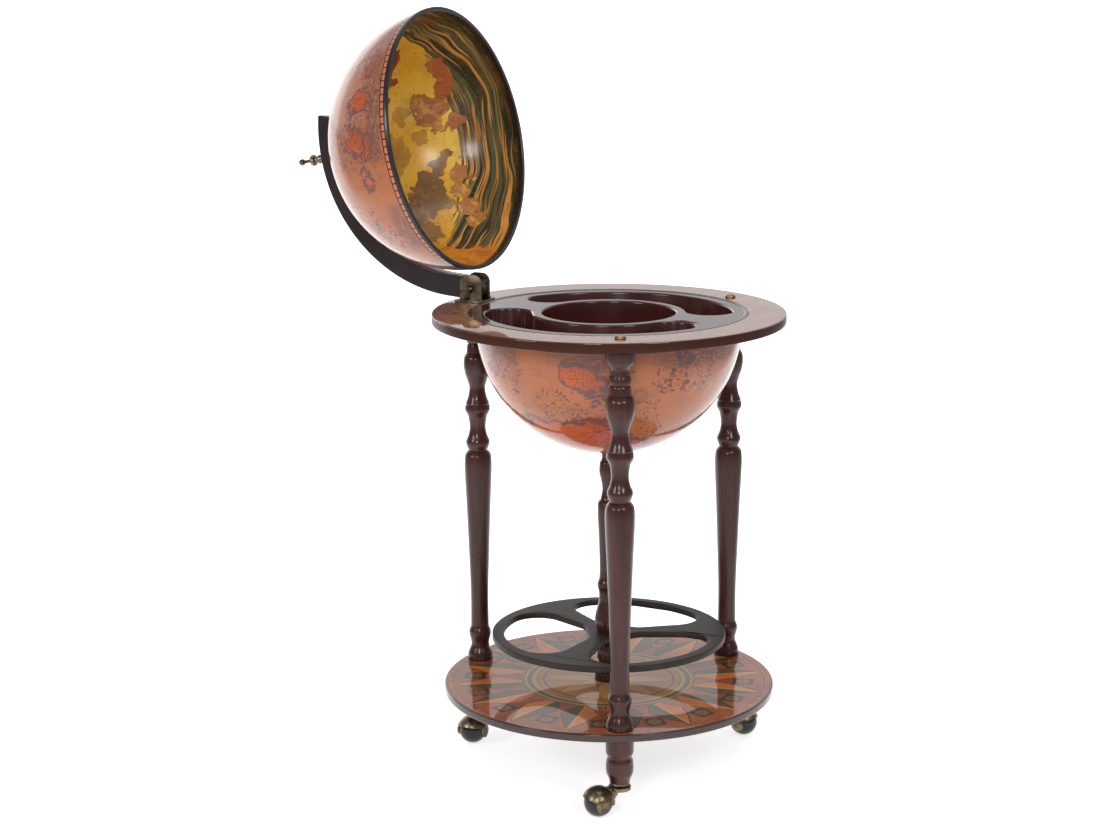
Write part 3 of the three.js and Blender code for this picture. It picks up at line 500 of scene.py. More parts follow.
def polar(finish, centre):
    """The place round a centre, with its reach from Z, its bearing and its height."""
    place = finish.point(centre)
    x, y, z = finish.parts(place)
    reach = (x * x + y * y) ** 0.5
    return place, reach, finish.angle(y, x), z


def petals(bearing, count, turn=0.0):
    """0 on the middle line of each of count sectors, 1 between two of them."""
    return ((bearing * (count / (2 * math.pi)) + turn).fraction() - 0.5).abs() * 2


def shelf_finish(name, edge):
    """Printed top of the round shelf: a wind-rose in a gilt ring, rays and rosettes."""
    rosette_reach, stud_reach = 0.176, 0.2065
    top = Finish(name, Coat_Roughness=0.015, Specular_IOR_Level=0.1)
    place, reach, bearing, height = polar(top, (AXIS.x, 0, SHELF_HIGH.z))
    mottle = top.noise(place, 14.0, 5.0, 0.6, 0.6)
    fine = top.noise(place, 60.0, 4.0, 0.65, 0.8)
    ink, green, gilt = (0.035, 0.022, 0.012), (0.075, 0.065, 0.02), (0.42, 0.26, 0.035)
    tone = top.ramp(mottle, ((0.35, (0.25, 0.06, 0.02)), (0.5, (0.34, 0.085, 0.026)),
                             (0.65, (0.42, 0.12, 0.035))))
    # Sixteen rays, every other one green, with a leaf on each
    ray = petals(bearing, 16)
    span = (reach - 0.112) / 0.09
    point_width = 1 - (span - 0.35).abs() * 1.35
    in_field = reach.between(0.114, 0.201, 0.0008)
    inside_ray = (point_width - ray).above(0.15, 0.02) * in_field
    rim_of_ray = (point_width - ray).between(0.1, 0.17, 0.015) * in_field
    alternate = (bearing * (8 / (2 * math.pi)) + 0.25).fraction().above(0.5, 0.01)
    # Rosettes on dark blocks between the rays
    across = petals(bearing, 16, 0.5) * (math.pi / 16) * rosette_reach
    along = reach - rosette_reach
    flower = (across * across + along * along) ** 0.5
    bloom = flower + petals(top.angle(across, along), 8) * 0.0028
    block = (across + along * 0.12).most(along.abs() * 0.9)
    # Gilt rings round the middle and the wind-rose inside them
    rings = reach.between(0.095, 0.101, 0.0006).most(reach.between(0.107, 0.1105, 0.0006))
    star = petals(bearing, 8)
    rose = (1 - reach / 0.082 - star * 0.8).above(0.0, 0.015) * reach.below(0.09, 0.001)
    # Small gilt studs and a line along the border, then the painted edge
    stud_across = petals(bearing, 48) * (math.pi / 48) * stud_reach
    stud_along = reach - stud_reach
    studs = (stud_across * stud_across + stud_along * stud_along).below(0.0000022, 0.0000008)
    tone = top.paint(
        tone,
        (fine.between(0.495, 0.525, 0.01) * 0.3, ink),
        (inside_ray * 0.9, top.mix(alternate, green, (0.62, 0.17, 0.02))),
        (rim_of_ray * 0.8, ink),
        (ray.below(0.05, 0.02) * inside_ray * 0.8, (0.62, 0.32, 0.08)),
        (block.below(0.0122, 0.0005) * in_field, (0.05, 0.03, 0.014)),
        (bloom.below(0.0098, 0.0006) * in_field, (0.3, 0.13, 0.05)),
        (bloom.between(0.0048, 0.0058, 0.0004) * in_field, ink),
        (flower.below(0.0016, 0.0004) * in_field, ink),
        (reach.between(0.0935, 0.112, 0.0006), (0.1, 0.05, 0.014)),
        (rings, gilt),
        (reach.below(0.0935, 0.0006) * 0.6, (0.46, 0.2, 0.035)),
        (rose * 0.8, (0.6, 0.33, 0.1)),
        (reach.between(0.084, 0.0862, 0.0005), ink),
        (studs * 0.8, (0.6, 0.3, 0.06)),
        (reach.between(0.203, 0.2042, 0.0004) * 0.7, ink),
        (reach.above(0.2128, 0.0005), edge))
    tone = top.mix(height.above(-0.0008, 0.0003), edge, tone)
    return top.close(Base_Color=tone, Roughness=0.3 + mottle * 0.1,
                     Coat_Weight=0.85 + fine * 0.15, Normal=top.bump(fine, 0.01, 0.0001))


def ring_finish(name, edge):
    """Printed ring board: a map-like ground with dark medals between border lines."""
    medal_reach = 0.202
    ring = Finish(name, Coat_Roughness=0.03, Coat_IOR=1.7, Specular_IOR_Level=0.1)
    place, reach, bearing, height = polar(ring, (AXIS.x, 0, RING_TOP))
    mottle = ring.noise(place, 18.0, 6.0, 0.62, 0.8)
    fine = ring.noise(place, 75.0, 4.0, 0.6, 1.0)
    ink = (0.045, 0.022, 0.014)
    tone = ring.ramp(mottle, ((0.32, (0.2, 0.055, 0.02)), (0.48, (0.29, 0.085, 0.028)),
                              (0.64, (0.38, 0.13, 0.045))))
    figure = petals(bearing, 12, 0.5)
    across = figure * (math.pi / 12) * medal_reach
    along = (reach - medal_reach) * 1.2
    medal = (across * across + along * along) ** 0.5 + (figure * 14).sine() * 0.0008
    lines = reach.between(0.1845, 0.1857, 0.0004).most(reach.between(0.2172, 0.2182, 0.0004))
    scale = petals(bearing, 90).above(0.5, 0.06)
    tone = ring.paint(
        tone,
        (mottle.between(0.5, 0.52, 0.008) * 0.4, ink),
        (fine.between(0.49, 0.52, 0.01) * 0.3, ink),
        (medal.between(0.0095, 0.0112, 0.0006), ink),
        (medal.below(0.0075, 0.0008) * 0.75, (0.1, 0.04, 0.02)),
        (medal.below(0.0035, 0.0006), (0.4, 0.17, 0.06)),
        (lines * 0.8, ink),
        (reach.between(0.1805, 0.1835, 0.0004),
         ring.mix(scale, (0.07, 0.03, 0.016), (0.42, 0.17, 0.06))),
        (reach.above(0.2228, 0.0005), edge),
        (reach.below(0.1788, 0.0004), edge))
    tone = ring.mix(height.above(-0.0008, 0.0003), edge, tone)
    gloss = (0.85 + fine * 0.15) * height.above(-0.0012, 0.0008) + 0.05
    return ring.close(Base_Color=tone, Roughness=0.3 + mottle * 0.1, Coat_Weight=gloss,
                      Normal=ring.bump(fine, 0.01, 0.0001))


def metal_finish(name, colour, dark, rough):
    """Cast and plated metal with darker tarnish in soft patches."""
    metal = Finish(name, Metallic=1.0)
    place = metal.point()
    cloud = metal.noise(place, 55.0, 5.0, 0.6, 0.4)
    grain = metal.noise(place, 900.0, 2.0, 0.5)
    light = tuple(1.25 * share for share in colour)
    tone = metal.ramp(cloud, ((0.36, dark), (0.56, colour), (0.72, light)))
    return metal.close(Base_Color=tone, Roughness=rough + cloud * 0.22,
                       Normal=metal.bump(grain + cloud * 0.6, 0.08, 0.0002))


def moulded_finish(name, colour, rough, coat, grain=420.0, relief=0.06):
    """Moulded plastic or paint with a faint grain and handling marks."""
    moulded = Finish(name, Coat_Roughness=0.06, Specular_IOR_Level=0.35)
    place = moulded.point()
    fine = moulded.noise(place, grain, 3.0, 0.5)
    wide = moulded.noise(place, 14.0, 4.0, 0.6)
    dark = tuple(0.8 * share for share in colour)
    light = tuple(1.2 * share for share in colour)
    tone = moulded.ramp(wide, ((0.3, dark), (0.7, light)))
    return moulded.close(Base_Color=tone, Roughness=rough + wide * 0.1,
                         Coat_Weight=coat + wide * 0.06,
                         Normal=moulded.bump(fine, relief, 0.0002))


def make_finishes(settings):
    wood, arm, paper, plastic, bronze = (
        tuple(colour) for colour in (settings.wood_colour, settings.arm_colour,
                                     settings.map_colour, settings.tray_colour,
                                     settings.bronze_colour))
    turn = (0, -OPENING, 0)
    bowl_centre = Vector((AXIS.x, 0, BOWL_HIGH.z))
    return {
        "wood": wood_finish("mahogany_lacquer", wood),
        "arm": wood_finish("arm_lacquer", arm, (9, 60, 9)),
        "bowl": globe_finish("globe_map_lower", bowl_centre, (0, 0, 0), BOWL_RADIUS, paper,
                             (0.006, 0.004), BOWL_ISLANDS, 0.0105, (4, -50, -23)),
        "lid": globe_finish("globe_map_upper", LID_CENTRE_OPEN, turn, LID_RADIUS, paper,
                            (0.0074, 0.004), LID_ISLANDS, 0.005, (4, -20, 38)),
        "sky": sky_finish("lid_sky_print", LID_CENTRE_OPEN, turn, LID_RADIUS - SHELL_WALL),
        "shelf": shelf_finish("shelf_print", (0.04, 0.017, 0.015)),
        "ring": ring_finish("ring_print", (0.05, 0.016, 0.011)),
        "tray": moulded_finish("well_plastic", plastic, 0.1, 0.15, 300.0, 0.015),
        "holder": moulded_finish("holder_paint", (0.024, 0.0165, 0.013), 0.45, 0.0, 500.0, 0.08),
        "rim": moulded_finish("rim_black", (0.014, 0.013, 0.017), 0.25, 0.1),
        "ball": moulded_finish("caster_black", (0.008, 0.008, 0.009), 0.14, 0.2, 420.0, 0.01),
        "bronze": metal_finish("aged_bronze", bronze, (0.06, 0.048, 0.028), 0.22),
        "brass": metal_finish("cap_copper", (0.36, 0.2, 0.11), (0.2, 0.1, 0.05), 0.18),
        "steel": metal_finish("plain_steel", (0.3, 0.3, 0.31), (0.18, 0.18, 0.18), 0.3),
    }


# Materials by name, filled by main()
FINISHES = {}


# Modelling helpers
def start_piece(name):
    """A new object in edit mode that holds one vertex at the origin."""
    bpy.ops.object.select_all(action="DESELECT")
    bpy.ops.mesh.primitive_plane_add(size=MM, location=(0, 0, 0))
    piece = bpy.context.object
    piece.name = piece.data.name = name
    bpy.ops.object.mode_set(mode="EDIT")
    bpy.ops.mesh.select_mode(type="VERT")
    bpy.ops.mesh.merge(type="CENTER")
    return piece


def draw_chain(points):
    """Move the selected vertex to the first point and draw edges on to the others."""
    bpy.ops.transform.translate(value=points[0])
    for start, end in zip(points, points[1:]):
        push(*(Vector(end) - Vector(start)))


def add_chain(points):
    """Another chain of edges in the mesh that is being edited."""
    bpy.ops.mesh.select_mode(type="VERT")
    bpy.ops.mesh.select_all(action="DESELECT")
    bpy.ops.mesh.primitive_plane_add(size=MM, location=(0, 0, 0))
    bpy.ops.mesh.merge(type="CENTER")
    draw_chain(points)


def select_all():
    bpy.ops.mesh.select_all(action="SELECT")


def merge_near():
    select_all()
    bpy.ops.mesh.remove_doubles(threshold=WELD)


def weld():
    merge_near()
    bpy.ops.mesh.normals_make_consistent(inside=False)


def push(*way):
    bpy.ops.mesh.extrude_region_move(TRANSFORM_OT_translate={"value": way})


def end_piece(piece, smooth_angle=40):
    bpy.ops.object.mode_set(mode="OBJECT")
    bpy.ops.object.shade_smooth_by_angle(angle=math.radians(smooth_angle))
    return piece


def only(piece):
    """Select this piece alone."""
    bpy.ops.object.select_all(action="DESELECT")
    piece.select_set(True)
    bpy.context.view_layer.objects.active = piece


def apply_modifier(piece, kind, **settings):
    only(piece)
    modifier = piece.modifiers.new(kind.lower(), kind)
    for setting, value in settings.items():
        setattr(modifier, setting, value)
    bpy.ops.object.modifier_apply(modifier=modifier.name)


def move_mesh(piece, matrix):
    only(piece)
    piece.matrix_world = matrix
    bpy.ops.object.transform_apply(location=True, rotation=True, scale=True)
    return piece


def set_on_axis(piece, height=0.0):
    """Move a piece from the origin to the axis of the boards and the globe."""
    return move_mesh(piece, Matrix.Translation((AXIS.x, 0, height)))


def lathe(name, outline, steps=64, smooth_angle=35):
    """Spin an outline of (radius, height) pairs about Z."""
    piece = start_piece(name)
    draw_chain([(radius, 0, height) for radius, height in outline])
    select_all()
    bpy.ops.mesh.spin(steps=steps, angle=2 * math.pi, center=(0, 0, 0), axis=(0, 0, 1))
    weld()
    return end_piece(piece, smooth_angle)


def smooth_section(points, samples):
    """A curve through the points that turns only where they do."""
    spans = [b[0] - a[0] for a, b in zip(points, points[1:])]
    slopes = [(b[1] - a[1]) / span for a, b, span in zip(points, points[1:], spans)]
    ends = [slopes[0]]
    for before, after in zip(slopes, slopes[1:]):
        together = before * after
        ends.append(2 * together / (before + after) if together > 0 else 0.0)
    ends.append(slopes[-1])
    curve = []
    for index, span in enumerate(spans):
        (start, low), (_, high) = points[index], points[index + 1]
        for sample in range(samples):
            t = sample / samples
            rise = t * t * (3 - 2 * t)
            lean = span * (ends[index] * t * (1 - t) ** 2 - ends[index + 1] * t * t * (1 - t))
            curve.append((start + span * t, low + (high - low) * rise + lean))
    return curve


def turned_side(sections, length, radius, samples=4):
    """Radii and heights of a turned piece, from its sections."""
    side = []
    for section in sections:
        side += smooth_section(section, samples)
    side.append(sections[-1][-1])
    return [(out * radius, along * length) for along, out in side]


def solid_outline(side):
    return [(0, side[0][1]), *side, (0, side[-1][1])]


def in_mm(points):
    return [(radius * MM, height * MM) for radius, height in points]


def arc(centre, radius, start, end, steps):
    """Points on an arc, from one angle to the other in degrees."""
    points = []
    for step in range(steps + 1):
        angle = math.radians(start + (end - start) * step / steps)
        points.append((centre[0] + radius * math.cos(angle),
                       centre[1] + radius * math.sin(angle)))
    return points


def rounded_board(inner, outer, low, high, round_, steps=4):
    """Outline of a board's section with rounded outer edges; inner is 0 or an opening."""
    upper = arc((outer - round_, high - round_), round_, 90, 0, steps)
    lower = arc((outer - round_, low + round_), round_, 0, -90, steps)
    support = 2 * round_
    outline = [(inner, high), (outer - round_ - support, high), *upper, *lower,
               (outer - round_ - support, low), (inner, low)]
    return outline + [(inner, high)] if inner else outline


def copy_piece(piece, name, matrix):
    """A copy with a mesh of its own, moved to its place."""
    twin = piece.copy()
    twin.data = piece.data.copy()
    twin.name = twin.data.name = name
    bpy.context.scene.collection.objects.link(twin)
    return move_mesh(twin, matrix)


def dress(piece, finish, slot, body, *nodes):
    """Give the piece its material and its body, and hide the solids it stands for; the slot is not
    used.
    """
    if finish:
        piece.data.materials.clear()
        piece.data.materials.append(FINISHES[finish])
    if nodes:
        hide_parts(*nodes)
    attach(piece, body)
    return piece


def select_edges(piece, test):
    """Select the edges whose two ends both pass the test."""
    bpy.ops.mesh.select_mode(type="EDGE")
    mesh = bmesh.from_edit_mesh(piece.data)
    for edge in mesh.edges:
        edge.select_set(all(test(vertex.co) for vertex in edge.verts))
    bmesh.update_edit_mesh(piece.data)


def bevel_sharp(width, segments=3, angle=50):
    bpy.ops.mesh.select_mode(type="EDGE")
    bpy.ops.mesh.select_all(action="DESELECT")
    bpy.ops.mesh.edges_select_sharp(sharpness=math.radians(angle))
    bpy.ops.mesh.bevel(offset=width, segments=segments, affect="EDGES")


def flat_sheet(name, outlines, height):
    """A new piece in edit mode: a level face inside the first outline and outside the others."""
    piece = start_piece(name)
    chains = [[(x, y, height) for x, y in outline + outline[:1]] for outline in outlines]
    draw_chain(chains[0])
    for chain in chains[1:]:
        add_chain(chain)
    merge_near()
    bpy.ops.mesh.fill(use_beauty=False)
    select_all()
    return piece


def plate_from(name, outlines, low, high, bevel, support):
    """A flat board with openings and rounded edges."""
    piece = flat_sheet(name, outlines, high)
    if support:
        bpy.ops.mesh.inset(thickness=support, use_boundary=True)
        select_all()
    push(0, 0, low - high)
    weld()
    bevel_sharp(bevel)
    return end_piece(piece)


def upright_plate(name, outline, start, thickness, bevel, segments=3, angle=50, support=0):
    """A plate along X and Z that starts at a place along Y, with rounded edges."""
    piece = start_piece(name)
    draw_chain([(x, start, z) for x, z in outline + outline[:1]])
    merge_near()
    if support:
        bpy.ops.mesh.fill(use_beauty=True)
        select_all()
        bpy.ops.mesh.inset(thickness=support, use_boundary=True)
        select_all()
    else:
        bpy.ops.mesh.edge_face_add()
    push(0, thickness, 0)
    weld()
    bevel_sharp(bevel, segments, angle)
    return end_piece(piece)


def clean_cut(piece):
    """Merge near points and split faces into triangles, so that the next boolean is sure."""
    only(piece)
    bpy.ops.object.mode_set(mode="EDIT")
    merge_near()
    bpy.ops.mesh.dissolve_degenerate(threshold=WELD / 2)
    bpy.ops.mesh.quads_convert_to_tris(quad_method="FIXED", ngon_method="BEAUTY")
    bpy.ops.object.mode_set(mode="OBJECT")


def unite(target, *tools, operation="UNION"):
    """Join or cut with other pieces by a boolean modifier that is applied."""
    for tool in tools:
        apply_modifier(target, "BOOLEAN", operation=operation, solver="EXACT",
                       use_hole_tolerant=True, object=tool)
        bpy.data.objects.remove(tool)
        clean_cut(target)
    return target


def shade_cut(piece, angle):
    """Shade a piece that booleans have made: smooth, with sharp edges between its forms."""
    only(piece)
    bpy.ops.object.shade_smooth_by_angle(angle=math.radians(angle))
    return piece


def colour_setting(name, description, default):
    return FloatVectorProperty(name=name, description=description, subtype="COLOR", size=3,
                               min=0, max=1, default=default)


def length_setting(name, description, low, high, default):
    return FloatProperty(name=name, description=description, subtype="DISTANCE",
                         unit="LENGTH", min=low, max=high, default=default)


class GlobeBarSettings(bpy.types.PropertyGroup):
    wood_colour: colour_setting("Wood", "Stain of the turned wood", (0.05, 0.015, 0.0125))
    arm_colour: colour_setting("Arm", "Stain of the meridian arm", (0.021, 0.013, 0.013))
    map_colour: colour_setting("Map paper", "Ground colour of the globe's print",
                               (0.42, 0.135, 0.05))
    tray_colour: colour_setting("Wells", "Plastic of the wells", (0.05, 0.0115, 0.01))
    bronze_colour: colour_setting("Bronze", "Hinge, finial and caster metal",
                                  (0.25, 0.2, 0.13))
    floor_colour: colour_setting("Floor", "Colour of the studio floor", (0.82, 0.82, 0.82))
    turning_steps: IntProperty(
        name="Turning steps", description="Sides of the turned wooden pieces",
        min=16, max=128, default=56)
    edge_round: length_setting("Edge round", "Rounding of the boards' edges",
                               0.0005, 0.004, 0.0015)
    well_lip: length_setting("Well lip", "Rounding where the plate turns down into a well",
                             0.001, 0.004, 0.0025)


class GLOBEBAR_OT_stage(bpy.types.Operator):
    """Set the camera, the soft lights and the pale floor"""

    bl_idname = "globebar.stage"
    bl_label = "Stage"

    # The camera's place and angles, fitted to the photograph's view
    camera_place = (1.3906, -2.6189, 1.0975)
    camera_heading = 117.392
    camera_pitch = 12.197
    camera_roll = -0.2896
    camera_lens, camera_sensor = 76.08, 36
    sight = 300
    floor_size = 120
    far_wall = 0.78
    near_wall = 0.28
    window_heading = 143
    window_glow = 1.4
    near_glow = 0.66
    far_glow = 1.3
    sweep_start = 0.8
    sweep_width = 1.0
    # Lines over the floor, each a spot on it and the heading of its far side: the one that
    # the glow grows beyond, then the left, left far, right and front edges of the glow
    glow_lines = (((0.1183, 0, 0), 117.4), ((-0.67, -0.8, 0), 43), ((-1.9, 0.35, 0), 73),
                  ((1.3906, -2.6189, 0), 193.5), ((0.39, -0.69, 0), 117.4))
    aim_height = 0.55
    # Name, place, size and power
    lights = (
        ("light_left", (-1.35, -2.75, 1.75), (0.75, 0.75), 25),
        ("light_camera", (0.95, -2.95, 1.72), (0.6, 0.6), 25),
        ("light_right", (2.45, -1.5, 2.0), (0.75, 0.75), 23),
        ("light_top", (0.2, 0.4, 3.4), (2.2, 2.2), 30),
    )

    def execute(self, context):
        settings = context.scene.globe_bar
        self.place_camera(context)
        for name, place, size, power in self.lights:
            self.add_light(name, Vector(place), size, power)
        self.light_room(context)
        context.scene.view_settings.view_transform = "Standard"
        bpy.ops.object.select_all(action="DESELECT")
        bpy.ops.mesh.primitive_plane_add(size=self.floor_size, location=(0, 0, 0))
        floor = context.object
        floor.name = "studio_floor"
        floor.data.materials.append(self.floor_finish(tuple(settings.floor_colour)))
        return {"FINISHED"}

    def ahead(self):
        heading = math.radians(self.camera_heading)
        return Vector((math.cos(heading), math.sin(heading), 0))

    def floor_finish(self, colour):
        """A plain pale floor with a soft glow under the object that grows behind it."""
        finish = Finish("floor_paint", Roughness=0.9, Specular_IOR_Level=0.0,
                        Emission_Strength=1)
        place = finish.point((AXIS.x, 0, 0))

        def beyond(line, limit, blur):
            """1 on the far side of a line over the floor."""
            spot, heading = line
            heading = math.radians(heading)
            way = (math.cos(heading), math.sin(heading), 0)
            return finish.dot(finish.point(spot), way).above(limit, blur)

        cloud = finish.noise(place, 1.5, 2.0)
        tone = finish.mix(cloud * 0.05, colour, tuple(0.97 * share for share in colour))
        ahead, left, left_far, right, front = self.glow_lines
        lit = (beyond(left, -0.2, 0.3).most(beyond(left_far, -0.2, 0.3))
               * beyond(right, -0.3, 0.22) * beyond(front, -0.2, 0.35))
        near, far = ((glow, glow, glow) for glow in (self.near_glow, self.far_glow))
        glow = finish.mix(beyond(ahead, self.sweep_start, self.sweep_width), near, far)
        return finish.close(Base_Color=tone, Emission_Color=finish.mix(lit, (0, 0, 0), glow))

    def light_room(self, context):
        """A pale room with a brighter far wall and a bright window at its left."""
        world = bpy.data.worlds.new("studio")
        world.use_nodes = True
        context.scene.world = world
        room = Graph(world.node_tree)
        background = world.node_tree.nodes["Background"]
        coordinates = world.node_tree.nodes.new("ShaderNodeTexCoord")
        direction = Flow(room, coordinates.outputs["Generated"])
        window = math.radians(self.window_heading)
        to_window = (math.cos(window), math.sin(window), 0)
        wall = room.dot(direction, self.ahead()).above(0.5, 0.2)
        glow = room.dot(direction, to_window).above(0.92, 0.03)
        strength = wall * (self.far_wall - self.near_wall) + glow * self.window_glow
        room.fill(background.inputs["Color"], (1, 1, 1))
        room.fill(background.inputs["Strength"], strength + self.near_wall)

    def place_camera(self, context):
        """Set the camera at the photograph's viewing angle."""
        heading, pitch = math.radians(self.camera_heading), math.radians(self.camera_pitch)
        forward = Vector((math.cos(heading) * math.cos(pitch),
                          math.sin(heading) * math.cos(pitch), -math.sin(pitch)))
        right = Vector((math.sin(heading), -math.cos(heading), 0))
        up = right.cross(forward)
        turn = Matrix((right, up, -forward)).transposed().to_4x4()
        bpy.ops.object.camera_add(location=(0, 0, 0))
        camera = context.object
        camera.name = "photo_camera"
        roll = Matrix.Rotation(math.radians(self.camera_roll), 4, "Z")
        camera.matrix_world = Matrix.Translation(Vector(self.camera_place)) @ turn @ roll
        camera.data.sensor_fit = "HORIZONTAL"
        camera.data.sensor_width = self.camera_sensor
        camera.data.lens = self.camera_lens
        camera.data.clip_end = self.sight
        context.scene.camera = camera

    def add_light(self, name, place, size, power):
        """A soft light that faces the middle of the object."""
        bpy.ops.object.light_add(type="AREA", location=place)
        light = bpy.context.object
        light.name = name
        light.data.shape = "RECTANGLE"
        light.data.size, light.data.size_y = size
        light.data.energy = power
        aim = Vector((AXIS.x, 0, self.aim_height)) - place
        light.rotation_euler = aim.to_track_quat("-Z", "Y").to_euler()


class GLOBEBAR_OT_legs(bpy.types.Operator):
    """Turn the three legs and their feet"""

    bl_idname = "globebar.legs"
    bl_label = "Legs and feet"

    def execute(self, context):
        steps = context.scene.globe_bar.turning_steps
        for part, sections in (("leg", LEG_SECTIONS), ("foot", FOOT_SECTIONS)):
            low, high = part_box(f"{part}_hinge")
            radius = (high.y - low.y) / 2
            side = turned_side(sections, high.z - low.z, radius)
            pattern = lathe(f"turned_{part}", solid_outline(side), steps)
            for leg in LEGS:
                place = Matrix.Translation(over(f"caster_stem_{leg}", low.z))
                piece = copy_piece(pattern, f"turned_{part}_{leg}", place)
                dress(piece, "wood", "turned_wood", "frame", f"{part}_{leg}")
            bpy.data.objects.remove(pattern)
        return {"FINISHED"}


class GLOBEBAR_OT_column(bpy.types.Operator):
    """Turn the two pieces of the centre column"""

    bl_idname = "globebar.column"
    bl_label = "Column"

    base_radius = 18.5 * MM
    shaft_radius = 18 * MM

    def execute(self, context):
        steps = context.scene.globe_bar.turning_steps
        for node, sections, radius in (
                ("column_base", COLUMN_BASE_SECTIONS, self.base_radius),
                ("column_shaft", COLUMN_SHAFT_SECTIONS, self.shaft_radius)):
            low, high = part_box(node)
            side = turned_side(sections, high.z - low.z, radius)
            piece = lathe(f"turned_{node}", solid_outline(side), steps)
            set_on_axis(piece, low.z)
            dress(piece, "wood", "turned_wood", "frame", node)
        return {"FINISHED"}


class GLOBEBAR_OT_boards(bpy.types.Operator):
    """Make the round shelf and the ring board with its brass caps"""

    bl_idname = "globebar.boards"
    bl_label = "Shelf and ring"

    ring_opening = 165 * MM
    rabbet_radius = 177.3 * MM
    rabbet_depth = 3.2 * MM
    rabbet_lip = 0.4 * MM
    cap_band = 0.2
    cap_foot = (0.92, 0.06)

    def execute(self, context):
        round_ = context.scene.globe_bar.edge_round
        outline = rounded_board(0, SHELF_RADIUS, SHELF_LOW.z, SHELF_HIGH.z, round_)
        shelf = lathe("printed_shelf", outline, BOARD_STEPS)
        set_on_axis(shelf)
        dress(shelf, "shelf", "printed_board", "frame", "shelf")

        floor = RING_TOP - self.rabbet_depth
        outline = rounded_board(self.ring_opening, RING_RADIUS, RING_LOW.z, RING_TOP, round_)
        rabbet = [(self.ring_opening, floor), (self.rabbet_radius, floor),
                  (self.rabbet_radius, RING_TOP - self.rabbet_lip),
                  (self.rabbet_radius + self.rabbet_lip, RING_TOP)]
        ring = lathe("printed_ring", [*rabbet, *outline[1:-1], rabbet[0]], BOARD_STEPS)
        set_on_axis(ring)
        dress(ring, "ring", "printed_board", "frame", "horizon_ring")

        # A cap is a dome on an upright band with a narrower foot, as shares of the cap's size
        cap_low, cap_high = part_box("bolt_cap_front")
        radius = (cap_high.y - cap_low.y) / 2
        rise = cap_high.z - cap_low.z
        dome = [(radius * out, rise * self.cap_band + rise * (1 - self.cap_band) * up)
                for out, up in arc((0, 0), 1, 0, 90, 10)]
        foot = [(radius * self.cap_foot[0], 0), (radius, rise * self.cap_foot[1])]
        pattern = lathe("cap", [(0, 0), *foot, *dome[:-1], (0, rise)], 40)
        for leg in ("front", "side"):
            node = f"bolt_cap_{leg}"
            place = Matrix.Translation(over(node, cap_low.z))
            cap = copy_piece(pattern, f"brass_cap_{leg}", place)
            dress(cap, "brass", "bright_brass", "frame", node)
        bpy.data.objects.remove(pattern)
        return {"FINISHED"}


class GLOBEBAR_OT_holder(bpy.types.Operator):
    """Cut the bottle holder with its three rounded openings"""

    bl_idname = "globebar.holder"
    bl_label = "Bottle holder"

    rim_width = 15 * MM
    web_width = 22 * MM
    hub_reach = 28 * MM
    inner_round = 28 * MM
    outer_round = 34 * MM
    opening_angle = 50
    turn = 212
    edge_round, edge_support = 1.4 * MM, 3 * MM

    def opening(self, turn):
        """Outline of one opening: a narrow inner round, a wide outer round and the rim's curve."""
        edge = HOLDER_RADIUS - self.rim_width
        reach = edge - self.outer_round
        corner = math.degrees(math.asin(self.outer_round / reach))
        outer_angle = self.opening_angle - corner
        outer = Vector((math.cos(math.radians(outer_angle)), math.sin(math.radians(outer_angle))))
        outer *= reach
        inner_x = self.hub_reach + self.inner_round
        clear = self.web_width / 2 + self.inner_round
        # The web's middle line lies half a third of a turn from the opening's
        axis = math.radians(60)
        inner = Vector((inner_x, (inner_x * math.sin(axis) - clear) / math.cos(axis)))
        apart = outer - inner
        spread = math.asin((self.outer_round - self.inner_round) / apart.length)
        normal = 90 + math.degrees(math.atan2(apart.y, apart.x) + spread)
        half = (arc(inner, self.inner_round, 180, normal, 8)
                + arc(outer, self.outer_round, normal, outer_angle, 16)
                + arc((0, 0), edge, outer_angle, 0, 16)[1:])
        outline = half + [(x, -y) for x, y in reversed(half[:-1])]
        spin = Matrix.Rotation(math.radians(turn), 2)
        return [tuple(spin @ Vector(point)) for point in outline]

    def execute(self, context):
        outlines = [arc((0, 0), HOLDER_RADIUS, 0, 360, GLOBE_STEPS)[:-1]]
        outlines += [self.opening(self.turn + step) for step in (0, 120, 240)]
        piece = plate_from("cut_bottle_holder", outlines, HOLDER_LOW.z, HOLDER_HIGH.z,
                           self.edge_round, self.edge_support)
        set_on_axis(piece)
        dress(piece, "holder", "holder_black", "frame", "bottle_holder")
        return {"FINISHED"}


class GLOBEBAR_OT_bowl(bpy.types.Operator):
    """Make the lower half of the globe"""

    bl_idname = "globebar.bowl"
    bl_label = "Lower globe half"

    def execute(self, context):
        inside = BOWL_RADIUS - SHELL_WALL
        outer = arc((0, 0), BOWL_RADIUS, -90, 0, 44)
        inner = arc((0, 0), inside, 0, -90, 44)
        outer[0], inner[-1] = (0, -BOWL_RADIUS), (0, -inside)
        bowl = lathe("globe_bowl", [*outer, *inner], GLOBE_STEPS)
        set_on_axis(bowl, BOWL_HIGH.z)
        dress(bowl, "bowl", "globe_print", "frame", "bowl")
        return {"FINISHED"}


